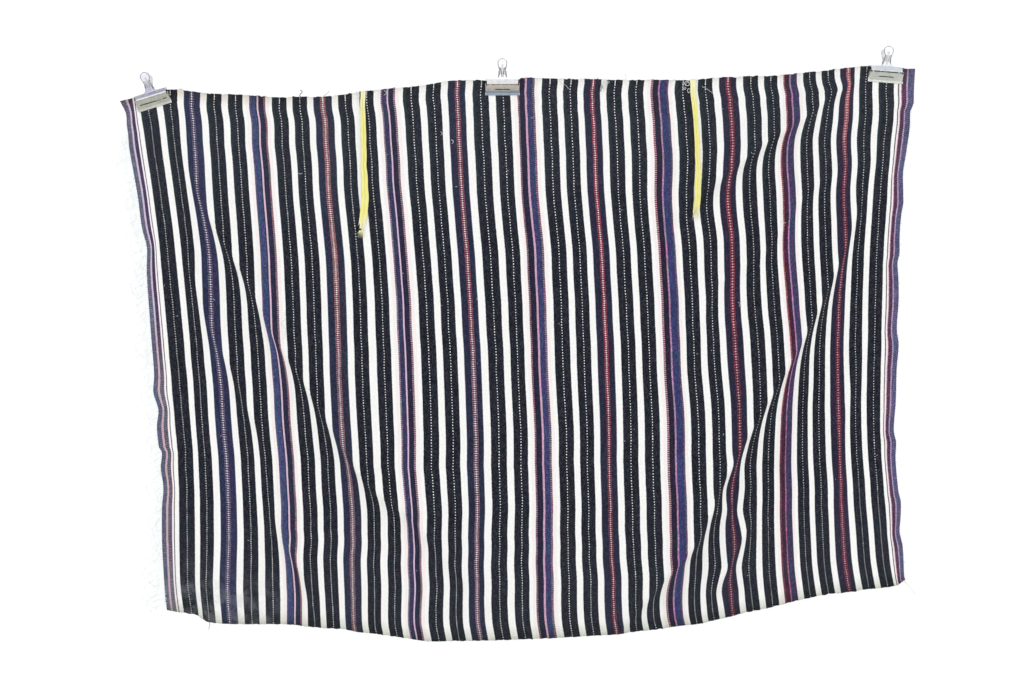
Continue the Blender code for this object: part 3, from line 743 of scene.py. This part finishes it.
def make_fringe():
    edge = edge_points(0)
    work = bmesh.new()
    count = 250
    for k in range(count):
        z = -88 - (774 - 88) * (k + random(k, 1) * 0.9) / count
        x, h = along(edge, z)
        low = max(0.0, min(1.0, (-z - 640) / 100))
        reach = (9 + 17 * random(k, 2) ** 1.5) * (1 + 0.55 * low)
        droop = (0.25 + 0.75 * random(k, 3)) * reach * 0.8
        lift = (random(k, 4) - 0.5) * 7
        curl = (random(k, 5) - 0.5) * 5
        tip = (x - reach, h + lift, z - droop)
        middle = (x - reach * 0.55, h + lift * 0.7 + 1.5 * (random(k, 6) - 0.5), z - droop * 0.3 + curl * 0.5)
        points = [(x + 2.0, h, z), (x - 1.5, h + 0.3, z), middle, tip]
        if random(k, 7) < 0.4:       # the weft turns back as a hanging loop
            back = (x - reach * (0.75 - 0.4 * random(k, 8)), h + lift + 1.2, z - droop - 8 - 12 * random(k, 9))
            points += [back, (x - reach * 0.25, h + 1.0, z - droop * 0.7 - 5)]
        path = [Vector((p[0], -max(p[1], 2.5), p[2])) for p in curve_through(points, 4)]
        tube(work, path, 0.30 + 0.16 * random(k, 10), sides=4, taper=0.5)
    return finish_mesh(work, "weft_fringe", [yarn_finish("wool_weft_ends", [(244, 249, 252), (236, 243, 247), (250, 253, 255)])])


def make_fuzz():
    """Short hairs of the cut and worn edges."""
    work = bmesh.new()
    for side in (0, 1):
        edge = edge_points(side)
        out = -1 if side == 0 else 1
        count = 260 if side else 200
        for k in range(count):
            s = k + 1000 * side
            z = -46 - 722 * (k + random(s, 1)) / count
            x, h = along(edge, z)
            dense = 1.0 if side == 0 or -470 < z < -230 else 0.7
            reach = (0.8 + 2.8 * random(s, 2) ** 2) * dense
            lift = (random(s, 3) - 0.5) * 3
            points = [(x - out * 1.2, -h, z), (x + out * reach * 0.5, -h - lift * 0.4, z - 0.6 * random(s, 4)),
                      (x + out * reach, -h - lift, z - (0.2 + 2.0 * random(s, 5)))]
            tube(work, curve_through(points, 2), 0.16 + 0.1 * random(s, 6), sides=3, taper=0.5,
                 material=0 if random(s, 7) < 0.55 else 1)
    return finish_mesh(work, "edge_fuzz", [
        yarn_finish("wool_fuzz_violet", [(96, 88, 132), (130, 110, 150), (84, 92, 130)]),
        yarn_finish("wool_fuzz_pale", [(222, 216, 214), (200, 190, 196), (236, 232, 228)])])


# ================================================================ tapes
TAPE_LEFT = [(-34, -203, 6.8), (-76, -204, 7.2), (-120, -204, 7.6), (-149, -204, 8.2), (-178, -204, 10.0),
             (-203, -205, 10.6), (-221, -208, 10.0), (-232, -210, 8.4), (-241, -211, 4.0)]
TAPE_RIGHT = [(-30, 274, 8.4), (-65, 276, 7.4), (-102, 277, 6.6), (-139, 277, 6.5), (-175, 276, 8.3),
              (-200, 275, 8.9), (-220, 273, 8.7), (-229, 272, 8.0)]


def tape_finish():
    f = Finish("tape_yellow", roughness=0.75, specular=0.3, sheen=0.15)
    u, v, _ = f.uv("place")
    weft = f.math("SINE", f.mul(v, 2 * math.pi / 0.9))
    warp = f.math("SINE", f.mul(u, 2 * math.pi / 0.8))
    worn = f.noise(f.combine(f.mul(u, 0.5), f.mul(v, 0.08), 0.0), 1.0, 3.0)
    base = f.ramp(worn, [(0.25, (238, 228, 122)), (0.5, (246, 239, 142)), (0.75, (250, 246, 186))])
    # painted shade along the pressed crease down the middle
    crease = f.soft(f.math("ABSOLUTE", f.add(u, f.mul(f.sub(worn, 0.5), 2.0))), 0.9, 0.2)
    base = f.mix(f.mul(crease, 0.38), base, linear((226, 210, 112)))
    selvedge = f.soft(f.math("ABSOLUTE", u), 3.6, 4.6)
    base = f.mix(f.mul(selvedge, 0.35), base, linear((250, 246, 200)))
    bleached = f.add(f.mul(f.soft(v, 80, 34), 0.55), f.mul(f.soft(v, 208, 232), 0.5))
    base = f.mix(bleached, base, linear((253, 251, 226)))
    f.colour(base)
    f.bump(f.add(f.mul(weft, 0.5), f.add(f.mul(warp, 0.4), f.mul(worn, 2.0))), 0.00015, 0.6)
    return f.material


def tape_place(rows, z):
    x = float(smooth(rows, z))
    out = max(float(proud(np.array(x + d), np.array(z + e))) for d in (-7, 0, 7) for e in (-8, 0, 8))
    return x, out


def make_tape(name, rows, clear, finish, seed, width_share=1.0, shift=0.0, low=None, high=None):
    top, bottom = high or rows[0][0], low or rows[-1][0]
    columns, steps = 10, 84
    work = bmesh.new()
    uv = work.loops.layers.uv.new("place")
    grid, flat = {}, {}
    for j in range(steps + 1):
        z = top + (bottom - top) * j / steps
        x, out = tape_place(rows, z)
        wide = float(smooth(rows, z, value=2)) * width_share
        sway = noise.noise(Vector((seed, 0, z / 22))) * 1.2
        for i in range(columns + 1):
            s = i / columns * 2 - 1
            fold = -1.1 * (1 - min(1.0, abs(s) * 2.2)) + 0.5 * abs(s)      # a pressed crease down the middle
            ripple = noise.noise(Vector((s * 1.3 + seed, 3, z / 14))) * 0.7
            turned = s * 0.5 * wide * (1 - 0.04 * math.cos(z / 9 + seed))
            at = z + 1.5 * noise.noise(Vector((s * 2.1, seed, 5))) * j / steps
            grid[i, j] = work.verts.new(((x + shift + sway + turned) * MM, -(out + clear + fold + ripple) * MM, at * MM))
            flat[grid[i, j]] = (s * 5.0, -z)
    for j in range(steps):
        for i in range(columns):
            if j > steps - 7 and random(i + seed * 10, j // 3) < (j - steps + 7) * 0.13:
                continue                      # worn away at the frayed end
            face = work.faces.new((grid[i, j], grid[i, j + 1], grid[i + 1, j + 1], grid[i + 1, j]))
            face.smooth = True
            for loop in face.loops:
                loop[uv].uv = flat[loop.vert]
    loose = [v for v in work.verts if not v.link_faces]
    bmesh.ops.delete(work, geom=loose, context="VERTS")
    obj = finish_mesh(work, name, [finish])
    shell = obj.modifiers.new("Thickness", "SOLIDIFY")
    shell.thickness = 0.6 * MM
    shell.offset = 0
    return obj


def make_frays(name, rows, clear, finish, seed, count=26):
    """Loose yarns at a tape's cut end."""
    work = bmesh.new()
    z0 = rows[-1][0] + 5
    for k in range(count):
        s = (k + 0.5) / count * 2 - 1
        x, out = tape_place(rows, z0)
        wide = float(smooth(rows, z0, value=2))
        start = Vector((x + s * 0.45 * wide, -(out + clear), z0))
        length = 4 + 8 * random(k, seed)
        side = s * 2.5 + (random(k, seed + 1) - 0.6) * 4
        points = [start, start + Vector((side * 0.3, -0.3, -length * 0.5)),
                  start + Vector((side, -0.6 + random(k, seed + 2), -length))]
        tube(work, curve_through(points, 3), 0.22, sides=3, taper=0.5)
    return finish_mesh(work, name, [finish])


# ================================================================ loose threads and specks
# colour, radius, then points as x, z and distance in front of the cloth
THREADS = [
    ("dark", 0.55, [(-294, -30, 1.5), (-291, -33, 3.0), (-295, -38, 2.4), (-292, -42, 3.0), (-297, -46, 2.0), (-295, -50, 1.0)]),
    ("pale", 0.75, [(-263, -42, 1.2), (-259, -39, 2.8), (-255, -36, 2.8), (-252, -33, 1.2)]),
    ("pale", 0.40, [(-214, -34, 1.0), (-210, -37, 3.5), (-209, -42, 3.0), (-213, -45, 1.0)]),
    ("pale", 0.40, [(-172, -34, 1.0), (-169, -38, 2.5), (-173, -41, 1.2)]),
    ("pale", 0.30, [(83, -27, 1.0), (85, -31, 2.6), (91, -34, 3.0), (94, -38, 2.2), (98, -41, 1.0)]),
    ("dark", 0.40, [(137, -24, 1.0), (139, -30, 3.0), (143, -36, 3.4), (142, -42, 2.6), (138, -46, 1.0)]),
    ("dark", 0.32, [(150, -27, 1.0), (153, -32, 2.6), (151, -39, 2.4), (154, -45, 1.0)]),
    ("pale", 0.40, [(176, -20, 1.0), (179, -23, 2.5), (177, -27, 1.0)]),
    ("pale", 0.30, [(288, -41, 1.0), (293, -44, 2.4), (299, -48, 2.4), (305, -53, 1.0)]),
    ("pale", 0.35, [(-323, -352, 0.6), (-320, -360, 1.8), (-326, -368, 1.6), (-321, -378, 1.8), (-324, -392, 0.6)]),
    ("pale", 0.50, [(-77, -108, 0.6), (-74, -111, 1.6), (-76, -114, 0.6)]),
    ("pale", 0.40, [(-92, -96, 0.6), (-90, -99, 1.4), (-92, -101, 0.6)]),
    ("pale", 0.45, [(566, -36, 0.6), (569, -40, 1.6), (571, -44, 0.6)]),
    ("beige", 0.35, [(560, -764, 0.8), (566, -770, 2.0), (573, -779, 1.5), (578, -786, 0.0)]),
    ("dark", 0.40, [(-447, -794, 0.8), (-446, -801, 1.5), (-448, -808, 0.5)]),
    ("pale", 0.35, [(-300, -150, 0.6), (-297, -152, 1.4), (-294, -151, 0.6)]),
    ("pale", 0.35, [(330, -355, 0.6), (333, -357, 1.5), (331, -361, 0.6)]),
    ("pale", 0.35, [(395, -240, 0.6), (398, -243, 1.5), (402, -242, 0.6)]),
]
# thread ends wound into loose curls: colour, radius, x, z, width, height, turns, first angle in degrees
CURLS = [
    ("pale", 0.45, 146, -34, 8, 11, 1.5, 200), ("pale", 0.38, 144, -40, 7, 6, 1.2, 40), ("pale", 0.35, 151, -30, 5, 6, 1.1, 120),
    ("pale", 0.50, 266, -36, 8, 7, 1.6, 20), ("pale", 0.42, 268, -46, 6, 7, 1.3, 250), ("pale", 0.38, 262, -42, 5, 5, 1.2, 100),
    ("pale", 0.32, -211, -40, 5, 6, 1.1, 60),
]


def curl_points(x, z, wide, high, turns, first):
    """A loose curl that stands off the cloth and tightens towards its end."""
    count = int(turns * 14)
    rows = []
    for k in range(count + 1):
        share = k / count
        a = math.radians(first) + share * turns * 2 * math.pi
        reach = 1 - 0.45 * share
        rows.append((x + 0.5 * wide * reach * math.cos(a) + 1.2 * share, z + 0.5 * high * reach * math.sin(a) - 1.5 * share,
                     1.0 + 2.2 * math.sin(math.pi * share) + 0.5 * math.sin(a * 2)))
    return rows


def make_threads():
    work = bmesh.new()
    order = ["pale", "dark", "beige"]
    curls = [(colour, radius, curl_points(*shape)) for colour, radius, *shape in CURLS]
    for colour, radius, rows in THREADS + curls:
        points = []
        for x, z, out in rows:
            held = min(max(z, -800), -24)
            points.append((x, -(float(proud(np.array(float(x)), np.array(float(held)))) + 0.8 + out), z))
        steps = 2 if len(rows) > 9 else 7
        tube(work, curve_through(points, steps), radius, sides=6, taper=0.8, material=order.index(colour))
    for k in range(90):              # small knots of lint caught in the weave
        x = -500 + 1040 * random(k, 31)
        z = -60 - 700 * random(k, 32)
        h = float(proud(np.array(x), np.array(z))) + 0.9
        turn, size = random(k, 33) * 6.28, 0.5 + 1.2 * random(k, 34) ** 2
        points = [(x - math.cos(turn) * size, -h, z - math.sin(turn) * size), (x, -h - 0.3, z + 0.3),
                  (x + math.cos(turn) * size, -h, z + math.sin(turn) * size)]
        tube(work, curve_through(points, 2), 0.22 + 0.15 * random(k, 35), sides=4, taper=0.7)
    return finish_mesh(work, "loose_threads", [
        yarn_finish("thread_pale", [(232, 230, 226), (210, 208, 206), (244, 243, 240)]),
        yarn_finish("thread_dark", [(38, 38, 44), (60, 56, 62), (30, 32, 38)]),
        yarn_finish("thread_beige", [(204, 190, 168), (222, 210, 190), (190, 178, 160)])])


# ================================================================ spring clips
STEEL = 0.8
# tip of the handle to the jaw: z, distance from the cloth's middle, half width
LEVER = [
    (6.2, 10.6, 1.8), (3.6, 10.6, 5.8), (1.0, 10.6, 6.9), (-2.6, 10.6, 6.7), (-6.6, 10.6, 5.2),
    (-11.0, 7.2, 4.7), (-15.4, 3.5, 5.0), (-19.4, 3.5, 6.2), (-21.6, 3.6, 9.0), (-22.8, 4.0, 25.0),
    (-28.6, 8.8, 25.0), (-29.8, 9.5, 25.0), (-33.2, 7.6, 25.0), (-36.8, 5.4, 25.0), (-38.0, 4.7, 25.0),
    (-42.6, 2.3, 25.0), (-45.6, 1.9, 25.0),
]
ACROSS = [-1.0, -0.965, -0.9, -0.45, 0.0, 0.45, 0.9, 0.965, 1.0]
CHEEK, FLANGE_END, SLIT_END = 2.0, -29.3, -32.0
SLOT = (-38.0, -36.8)
HOLES = [(2.8, 1.2), (-4.0, 2.0)]
PIN_Z = -16.9


def steel_finish(name, tint, rough=0.3, reflection_zones=None, rim=None, metal=1.0, painted_slits=(), highlight_strength=0.7, bend_shade=0.5,
                 bend_shade_colour=(110, 104, 104), rib_shade=0.6, pale=0.0):
    """Brushed plated steel. zones: heights on the lever and the tint there, which paints reflections and the highlight
    of the bend; rim: colour of the painted shade along the outline; scored: middle and half length of dark lines
    painted beside the slot as slits; bright: strength of the painted highlight on the bend; grime: strength of the
    painted shade under it, with the colour dirt; ribbed: depth of the rib's painted shade on the neck; pale: how chalky
    the flange is."""
    f = Finish(name, roughness=rough, metallic=metal, specular=0.5, anisotropy=0.35)
    place = f.object_place()
    x, y, z = f.split(place)
    brushed = f.noise(f.combine(f.mul(x, 40.0), f.mul(y, 900.0), f.mul(z, 1400.0)), 1.0, 3.0)
    smudge = f.noise(place, 160.0, 3.0, 0.6)
    grey = f.ramp(f.add(f.mul(brushed, 0.35), f.mul(smudge, 0.65)), [(0.25, (214, 214, 216)), (0.5, (244, 244, 244)), (0.8, (255, 255, 255))])
    base = linear(tint)
    if reflection_zones:
        across, up, _ = f.uv("lever")          # mm from the lever's middle line, mm above the mount
        edge, _, _ = f.uv("rim")               # mm from the outline
        wobble = f.mul(f.sub(f.noise(place, 500.0, 2.0), 0.5), 0.8)
        # painted reflections: the plating's tint by height on the lever, with a painted highlight at the bend
        base = f.ramp(f.add(up, wobble), reflection_zones)
        # painted shade of a pressed bead along the handle's outline, in the colour rim
        outline = f.mul(f.soft(f.add(edge, wobble), 1.5, 0.5), f.soft(up, -22.0, -19.0))
        base = f.mix(f.mul(outline, 0.85), base, linear(rim))
        # painted shade of a pressed rib that runs down the neck as a narrow V, dark along its foot; the rib itself is
        # not modelled
        rib = f.math("ABSOLUTE", f.sub(f.math("ABSOLUTE", across), f.add(0.9, f.mul(f.math("MAXIMUM", f.add(up, 17.0), 0.0), 0.20))))
        pressed = f.mul(f.soft(rib, 0.75, 0.25), f.mul(f.soft(up, -20.5, -18.5), f.soft(up, -6.2, -8.0)))
        base = f.mix(f.mul(pressed, rib_shade), base, linear(rim))
        # painted shade in the bend under the flange, and short dark lines beside the slot: painted shade standing in
        # for slits that are not cut
        bend_shade_line = f.mul(f.soft(f.math("ABSOLUTE", f.add(up, 31.1)), 1.05, 0.5), f.soft(f.noise(f.combine(f.mul(x, 240.0), 0.0, 3.0), 1.0, 2.0), 0.36, 0.5))
        base = f.mix(f.mul(bend_shade_line, bend_shade), base, linear(bend_shade_colour))
        for middle, half in painted_slits:
            line = f.mul(f.soft(f.math("ABSOLUTE", f.add(up, 37.4)), 0.95, 0.5), f.soft(f.math("ABSOLUTE", f.sub(across, middle)), half, half - 1.0))
            base = f.mix(f.mul(line, 0.85), base, linear((70, 64, 54)))
        # painted highlight on the bend: white, and less metallic so that it scatters the light
        bend_highlight = f.soft(f.math("ABSOLUTE", f.add(up, 29.3)), 1.25, 0.6)
        base = f.mix(f.mul(bend_highlight, highlight_strength), base, (1.0, 1.0, 1.0))
        neck = f.mul(f.soft(up, -21.0, -18.0), f.soft(up, -5.0, -8.0))
        flange = f.mul(f.soft(up, -29.0, -28.0), f.soft(up, -21.5, -23.0))
        f.put(f.shader.inputs["Metallic"], f.sub(f.sub(f.sub(metal, f.mul(bend_highlight, 0.75 * highlight_strength)), f.mul(neck, 0.5 * metal)),
                                                 f.mul(flange, pale)))
    f.colour(f.mix(1.0, base, grey, "MULTIPLY"))
    f.roughness(f.add(rough - 0.08, f.mul(smudge, 0.2)))
    scratch = f.soft(f.noise(f.combine(f.mul(x, 260.0), f.mul(y, 300.0), f.mul(z, 2600.0)), 1.0, 2.0), 0.62, 0.7)
    f.bump(f.add(f.mul(brushed, 0.6), f.mul(scratch, -0.5)), 0.00003, 0.6)
    return f.material


def mark_lever(mesh):
    """Places on the lever for its finish: across and up, and the distance from the outline."""
    heights, halves = [row[0] for row in LEVER[::-1]], [row[2] for row in LEVER[::-1]]
    lever, rim = mesh.uv_layers.new(name="lever"), mesh.uv_layers.new(name="rim")
    for loop in mesh.loops:
        co = mesh.vertices[loop.vertex_index].co / MM
        half = float(np.interp(co.z, heights, halves))
        lever.data[loop.index].uv = (co.x, co.z)
        rim.data[loop.index].uv = (min(half - abs(co.x), max(0.0, LEVER[0][0] - co.z) + 0.3 * abs(co.x)), 0.0)


def make_lever(name, front, place, finish):
    """A sprung lever of sheet steel with rolled bends, its handle's holes and its slot cut through."""
    rows = len(LEVER) - 1
    columns = len(ACROSS) - 1
    work = bmesh.new()
    bmesh.ops.create_grid(work, x_segments=columns, y_segments=rows, size=1)
    for vert in list(work.verts):
        i, j = round((vert.co.x + 1) / 2 * columns), round((1 - vert.co.y) / 2 * rows)
        z, far, half = LEVER[j]
        if i in (0, columns) and far > CHEEK and z < FLANGE_END:
            far = CHEEK
        vert.co = (ACROSS[i] * half * MM, (-WALL_GAP + (-far if front else far)) * MM, z * MM)
    half = LEVER[-1][2]
    gone = []
    for face in work.faces:
        middle = face.calc_center_median() / MM
        side = abs(middle.x) / half
        if (-22.4 > middle.z > FLANGE_END and side > 0.9) or (FLANGE_END > middle.z > SLIT_END and 0.9 < side < 0.965) \
                or (front and SLOT[0] < middle.z < SLOT[1] and side < 0.45):
            gone.append(face)
    bmesh.ops.delete(work, geom=gone, context="FACES")
    bmesh.ops.recalc_face_normals(work, faces=work.faces)
    mesh = bpy.data.meshes.new(name)
    work.to_mesh(mesh)
    work.free()
    lever = link(name, mesh, [finish])
    shell = lever.modifiers.new("Thickness", "SOLIDIFY")
    shell.thickness = STEEL * MM
    shell.offset = 0
    cutters = []
    for k, (z, radius) in enumerate(HOLES):
        drill = bmesh.new()
        bmesh.ops.create_cone(drill, cap_ends=True, segments=32, radius1=radius * MM, radius2=radius * MM, depth=6 * MM,
                              matrix=Matrix.Translation((0, (-WALL_GAP + (-1 if front else 1) * LEVER[0][1]) * MM, z * MM))
                              @ Matrix.Rotation(math.pi / 2, 4, "X"))
        cutter = finish_mesh(drill, f"{name}_drill_{k}", [])
        cut = lever.modifiers.new(f"Hole {k}", "BOOLEAN")
        cut.operation = "DIFFERENCE"
        cut.object = cutter
        cutters.append(cutter)
    bevel = lever.modifiers.new("Rolled edges", "BEVEL")
    bevel.width = 0.28 * MM
    bevel.segments = 3
    bevel.limit_method = "ANGLE"
    bevel.angle_limit = math.radians(12)
    bpy.context.view_layer.update()
    final = bpy.data.meshes.new_from_object(lever.evaluated_get(bpy.context.evaluated_depsgraph_get()))
    lever.modifiers.clear()
    lever.data = final
    final.materials.clear()
    final.materials.append(finish)
    final.shade_smooth()
    final.set_sharp_from_angle(angle=math.radians(35))
    for cutter in cutters:
        bpy.data.objects.remove(cutter)
    mark_lever(final)
    final.transform(place)
    return lever


def make_spring(name, place, finish):
    """The coil between the levers, with an arm pressing on each."""
    work = bmesh.new()
    turns, reach, radius, wire = 9, 5.6, 2.15, 0.45
    points = [Vector((-reach, -WALL_GAP - 3.0, PIN_Z + 6.0)), Vector((-reach, -WALL_GAP - 2.7, PIN_Z + 3.0))]
    for k in range(turns * 14 + 1):
        a = math.pi + k / 14 * 2 * math.pi
        points.append(Vector((-reach + 2 * reach * k / (turns * 14), -WALL_GAP + radius * math.cos(a), PIN_Z + radius * math.sin(a))))
    points += [Vector((reach, -WALL_GAP - 2.6, PIN_Z + 3.0)), Vector((reach, -WALL_GAP - 3.0, PIN_Z + 6.0))]
    tube(work, points, wire, sides=8)
    tube(work, [Vector((-6.4, -WALL_GAP, PIN_Z)), Vector((0, -WALL_GAP, PIN_Z)), Vector((6.4, -WALL_GAP, PIN_Z))], 1.2, sides=14)
    spring = finish_mesh(work, name, [finish])
    spring.data.transform(place)
    return spring


# ================================================================ putting it together
cloth = make_cloth()
fringe = make_fringe()
fuzz = make_fuzz()
yellow = tape_finish()
tape_left = make_tape("yellow_tape_left", TAPE_LEFT, 2.4, yellow, 1.0)
tape_right = make_tape("yellow_tape_right", TAPE_RIGHT, 2.4, yellow, 4.0)
frays_left = make_frays("yellow_frays_left", TAPE_LEFT, 2.4, yellow, 5.0)
frays_right = make_frays("yellow_frays_right", TAPE_RIGHT, 2.4, yellow, 9.0)
threads = make_threads()

for piece in (cloth, fringe, fuzz, tape_left, tape_right, frays_left, frays_right, threads):
    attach(piece, "root")
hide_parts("cloth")
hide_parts("fringe_left")
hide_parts("tie_left")
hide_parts("tie_right")

# tint of each clip's plating from the jaw to the tip of the handle, mostly painted reflections with a painted highlight
# at the bend, and the colour of the painted shade along its outline
PAINTED_REFLECTIONS = {
    "left": ([(-46, (236, 236, 228)), (-44.8, (214, 216, 206)), (-34, (218, 219, 208)), (-30.6, (214, 214, 208)),
              (-29.6, (255, 255, 255)), (-28.8, (236, 234, 246)), (-27.8, (206, 204, 222)), (-19, (206, 204, 222)),
              (-12, (222, 220, 232)), (-7, (246, 245, 252)), (8, (244, 243, 250))], (112, 108, 128)),
    "middle": ([(-46, (214, 218, 222)), (-44.8, (158, 170, 186)), (-40, (166, 178, 192)), (-38.6, (214, 210, 200)),
                (-32, (238, 228, 218)), (-30.6, (238, 230, 222)), (-29.6, (255, 255, 255)), (-19, (255, 255, 255)),
                (-12, (252, 248, 252)), (8, (250, 248, 252))], (66, 46, 68)),
    "right": ([(-46, (242, 246, 240)), (-44.8, (228, 232, 224)), (-34, (230, 234, 226)), (-30.6, (226, 230, 226)),
               (-29.6, (255, 255, 255)), (-28.8, (246, 250, 255)), (-27.8, (238, 246, 252)), (-19, (240, 246, 252)),
               (-12, (236, 238, 242)), (-7, (250, 250, 250)), (8, (250, 250, 250))], (118, 114, 118)),
}
# dark lines painted beside the slot as slits, strength of the painted highlight on the bend, strength of the painted
# shade under it and its colour, depth of the rib's painted shade, chalky flange
PAINTED_SHADE_AND_SHINE = {"left": (((-15.0, 5.5), (17.5, 3.5)), 1.0, 0.25, (150, 146, 160), 0.35, 0.0),
        "middle": ((), 0.8, 0.7, (124, 98, 100), 0.95, 0.7), "right": ((), 0.7, 1.0, (74, 78, 80), 0.4, 0.45)}
for label, x, z, tilt in CLIPS:
    where = Matrix.Translation((x * MM, 0, z * MM)) @ Matrix.Rotation(math.radians(tilt), 4, "Y")
    reflection_zones, rim = PAINTED_REFLECTIONS[label]
    painted_slits, highlight_strength, bend_shade, bend_shade_colour, rib_shade, pale = PAINTED_SHADE_AND_SHINE[label]
    plate = steel_finish(f"clip_steel_{label}", (255, 255, 255), 0.3, reflection_zones, rim, painted_slits=painted_slits, highlight_strength=highlight_strength, bend_shade=bend_shade,
                         bend_shade_colour=bend_shade_colour, rib_shade=rib_shade, pale=pale)
    dull = steel_finish(f"clip_back_steel_{label}", (236, 236, 240), 0.42, metal=0.45)
    wire = steel_finish(f"spring_steel_{label}", (170, 170, 174), 0.34)
    for part, maker, finish in (
            ("front", lambda n, w, m: make_lever(n, True, w, m), plate),
            ("back", lambda n, w, m: make_lever(n, False, w, m), dull),
            ("spring", make_spring, wire)):
        piece = maker(f"{label}_clip_{part}", where, finish)
        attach(piece, "root")
        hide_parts(f"clip_{label}_{part}")


# ================================================================ stage and light
def plane(name, corners, material):
    work = bmesh.new()
    work.faces.new([work.verts.new(c) for c in corners])
    mesh = bpy.data.meshes.new(name)
    work.to_mesh(mesh)
    work.free()
    obj = link(name, mesh, [material])
    return obj


FLOOR = -1.55
wall_finish = Finish("stage_wall", roughness=0.95, specular=0.1)
wall_finish.colour(wall_finish.ramp(wall_finish.noise(wall_finish.object_place(), 3.0, 4.0),
                                    [(0.3, (122, 90, 56)), (0.7, (124, 92, 58))]))
tree = wall_finish.tree
side = tree.nodes.new("ShaderNodeNewGeometry")
clear = tree.nodes.new("ShaderNodeBsdfTransparent")
both = tree.nodes.new("ShaderNodeMixShader")
tree.links.new(side.outputs["Backfacing"], both.inputs[0])
tree.links.new(wall_finish.shader.outputs[0], both.inputs[1])
tree.links.new(clear.outputs[0], both.inputs[2])
tree.links.new(both.outputs[0], tree.nodes["Material Output"].inputs["Surface"])
wall = plane("stage_wall", [(-4, 0.0012, FLOOR), (4, 0.0012, FLOOR), (4, 0.0012, 3), (-4, 0.0012, 3)], wall_finish.material)
wall_finish.shader.inputs["Emission Color"].default_value = (0.86, 0.95, 1.0, 1)
wall_finish.shader.inputs["Emission Strength"].default_value = 0.985
wall.visible_shadow = False
wall.visible_diffuse = False
floor_finish = Finish("stage_floor", roughness=0.8, specular=0.2)
floor_finish.colour(floor_finish.ramp(floor_finish.noise(floor_finish.object_place(), 2.0, 4.0),
                                      [(0.3, (212, 210, 205)), (0.7, (222, 221, 217))]))
plane("stage_floor", [(-6, -7, FLOOR), (6, -7, FLOOR), (6, 5, FLOOR), (-6, 5, FLOOR)], floor_finish.material)

world = bpy.data.worlds.new("studio")
scene.world = world
world.use_nodes = True
world.node_tree.nodes["Background"].inputs[0].default_value = (0.945, 0.97, 1.0, 1)
world.node_tree.nodes["Background"].inputs[1].default_value = 0.61


def lamp(name, place, target, size, power, colour=(1, 1, 1)):
    data = bpy.data.lights.new(name, "AREA")
    data.shape = "RECTANGLE"
    data.size, data.size_y = size
    data.energy = power
    data.color = colour
    obj = bpy.data.objects.new(name, data)
    scene.collection.objects.link(obj)
    obj.location = place
    obj.rotation_euler = (Vector(target) - Vector(place)).to_track_quat("-Z", "Y").to_euler()
    obj.visible_camera = False
    return obj


lamp("key", (-0.4, -2.6, 2.3), (0.0, 0.0, -0.4), (3.2, 1.6), 23, (1.0, 1.0, 0.99))
lamp("fill", (0.3, -3.6, 0.0), (0.0, 0.0, -0.4), (3.4, 2.6), 22, (1.0, 1.0, 1.0))
lamp("side_left", (-2.8, -1.5, -0.7), (-0.1, 0.0, -0.42), (1.8, 1.8), 23, (1.0, 1.0, 1.0))
lamp("side_right", (2.8, -1.5, -0.7), (0.1, 0.0, -0.42), (1.8, 1.8), 23, (1.0, 1.0, 1.0))
lamp("behind", (0.0, 2.8, 1.2), (0.0, 0.0, -0.4), (3.0, 2.0), 45)

scene.view_settings.view_transform = "Standard"
scene.view_settings.look = "None"
scene.view_settings.exposure = 0.0
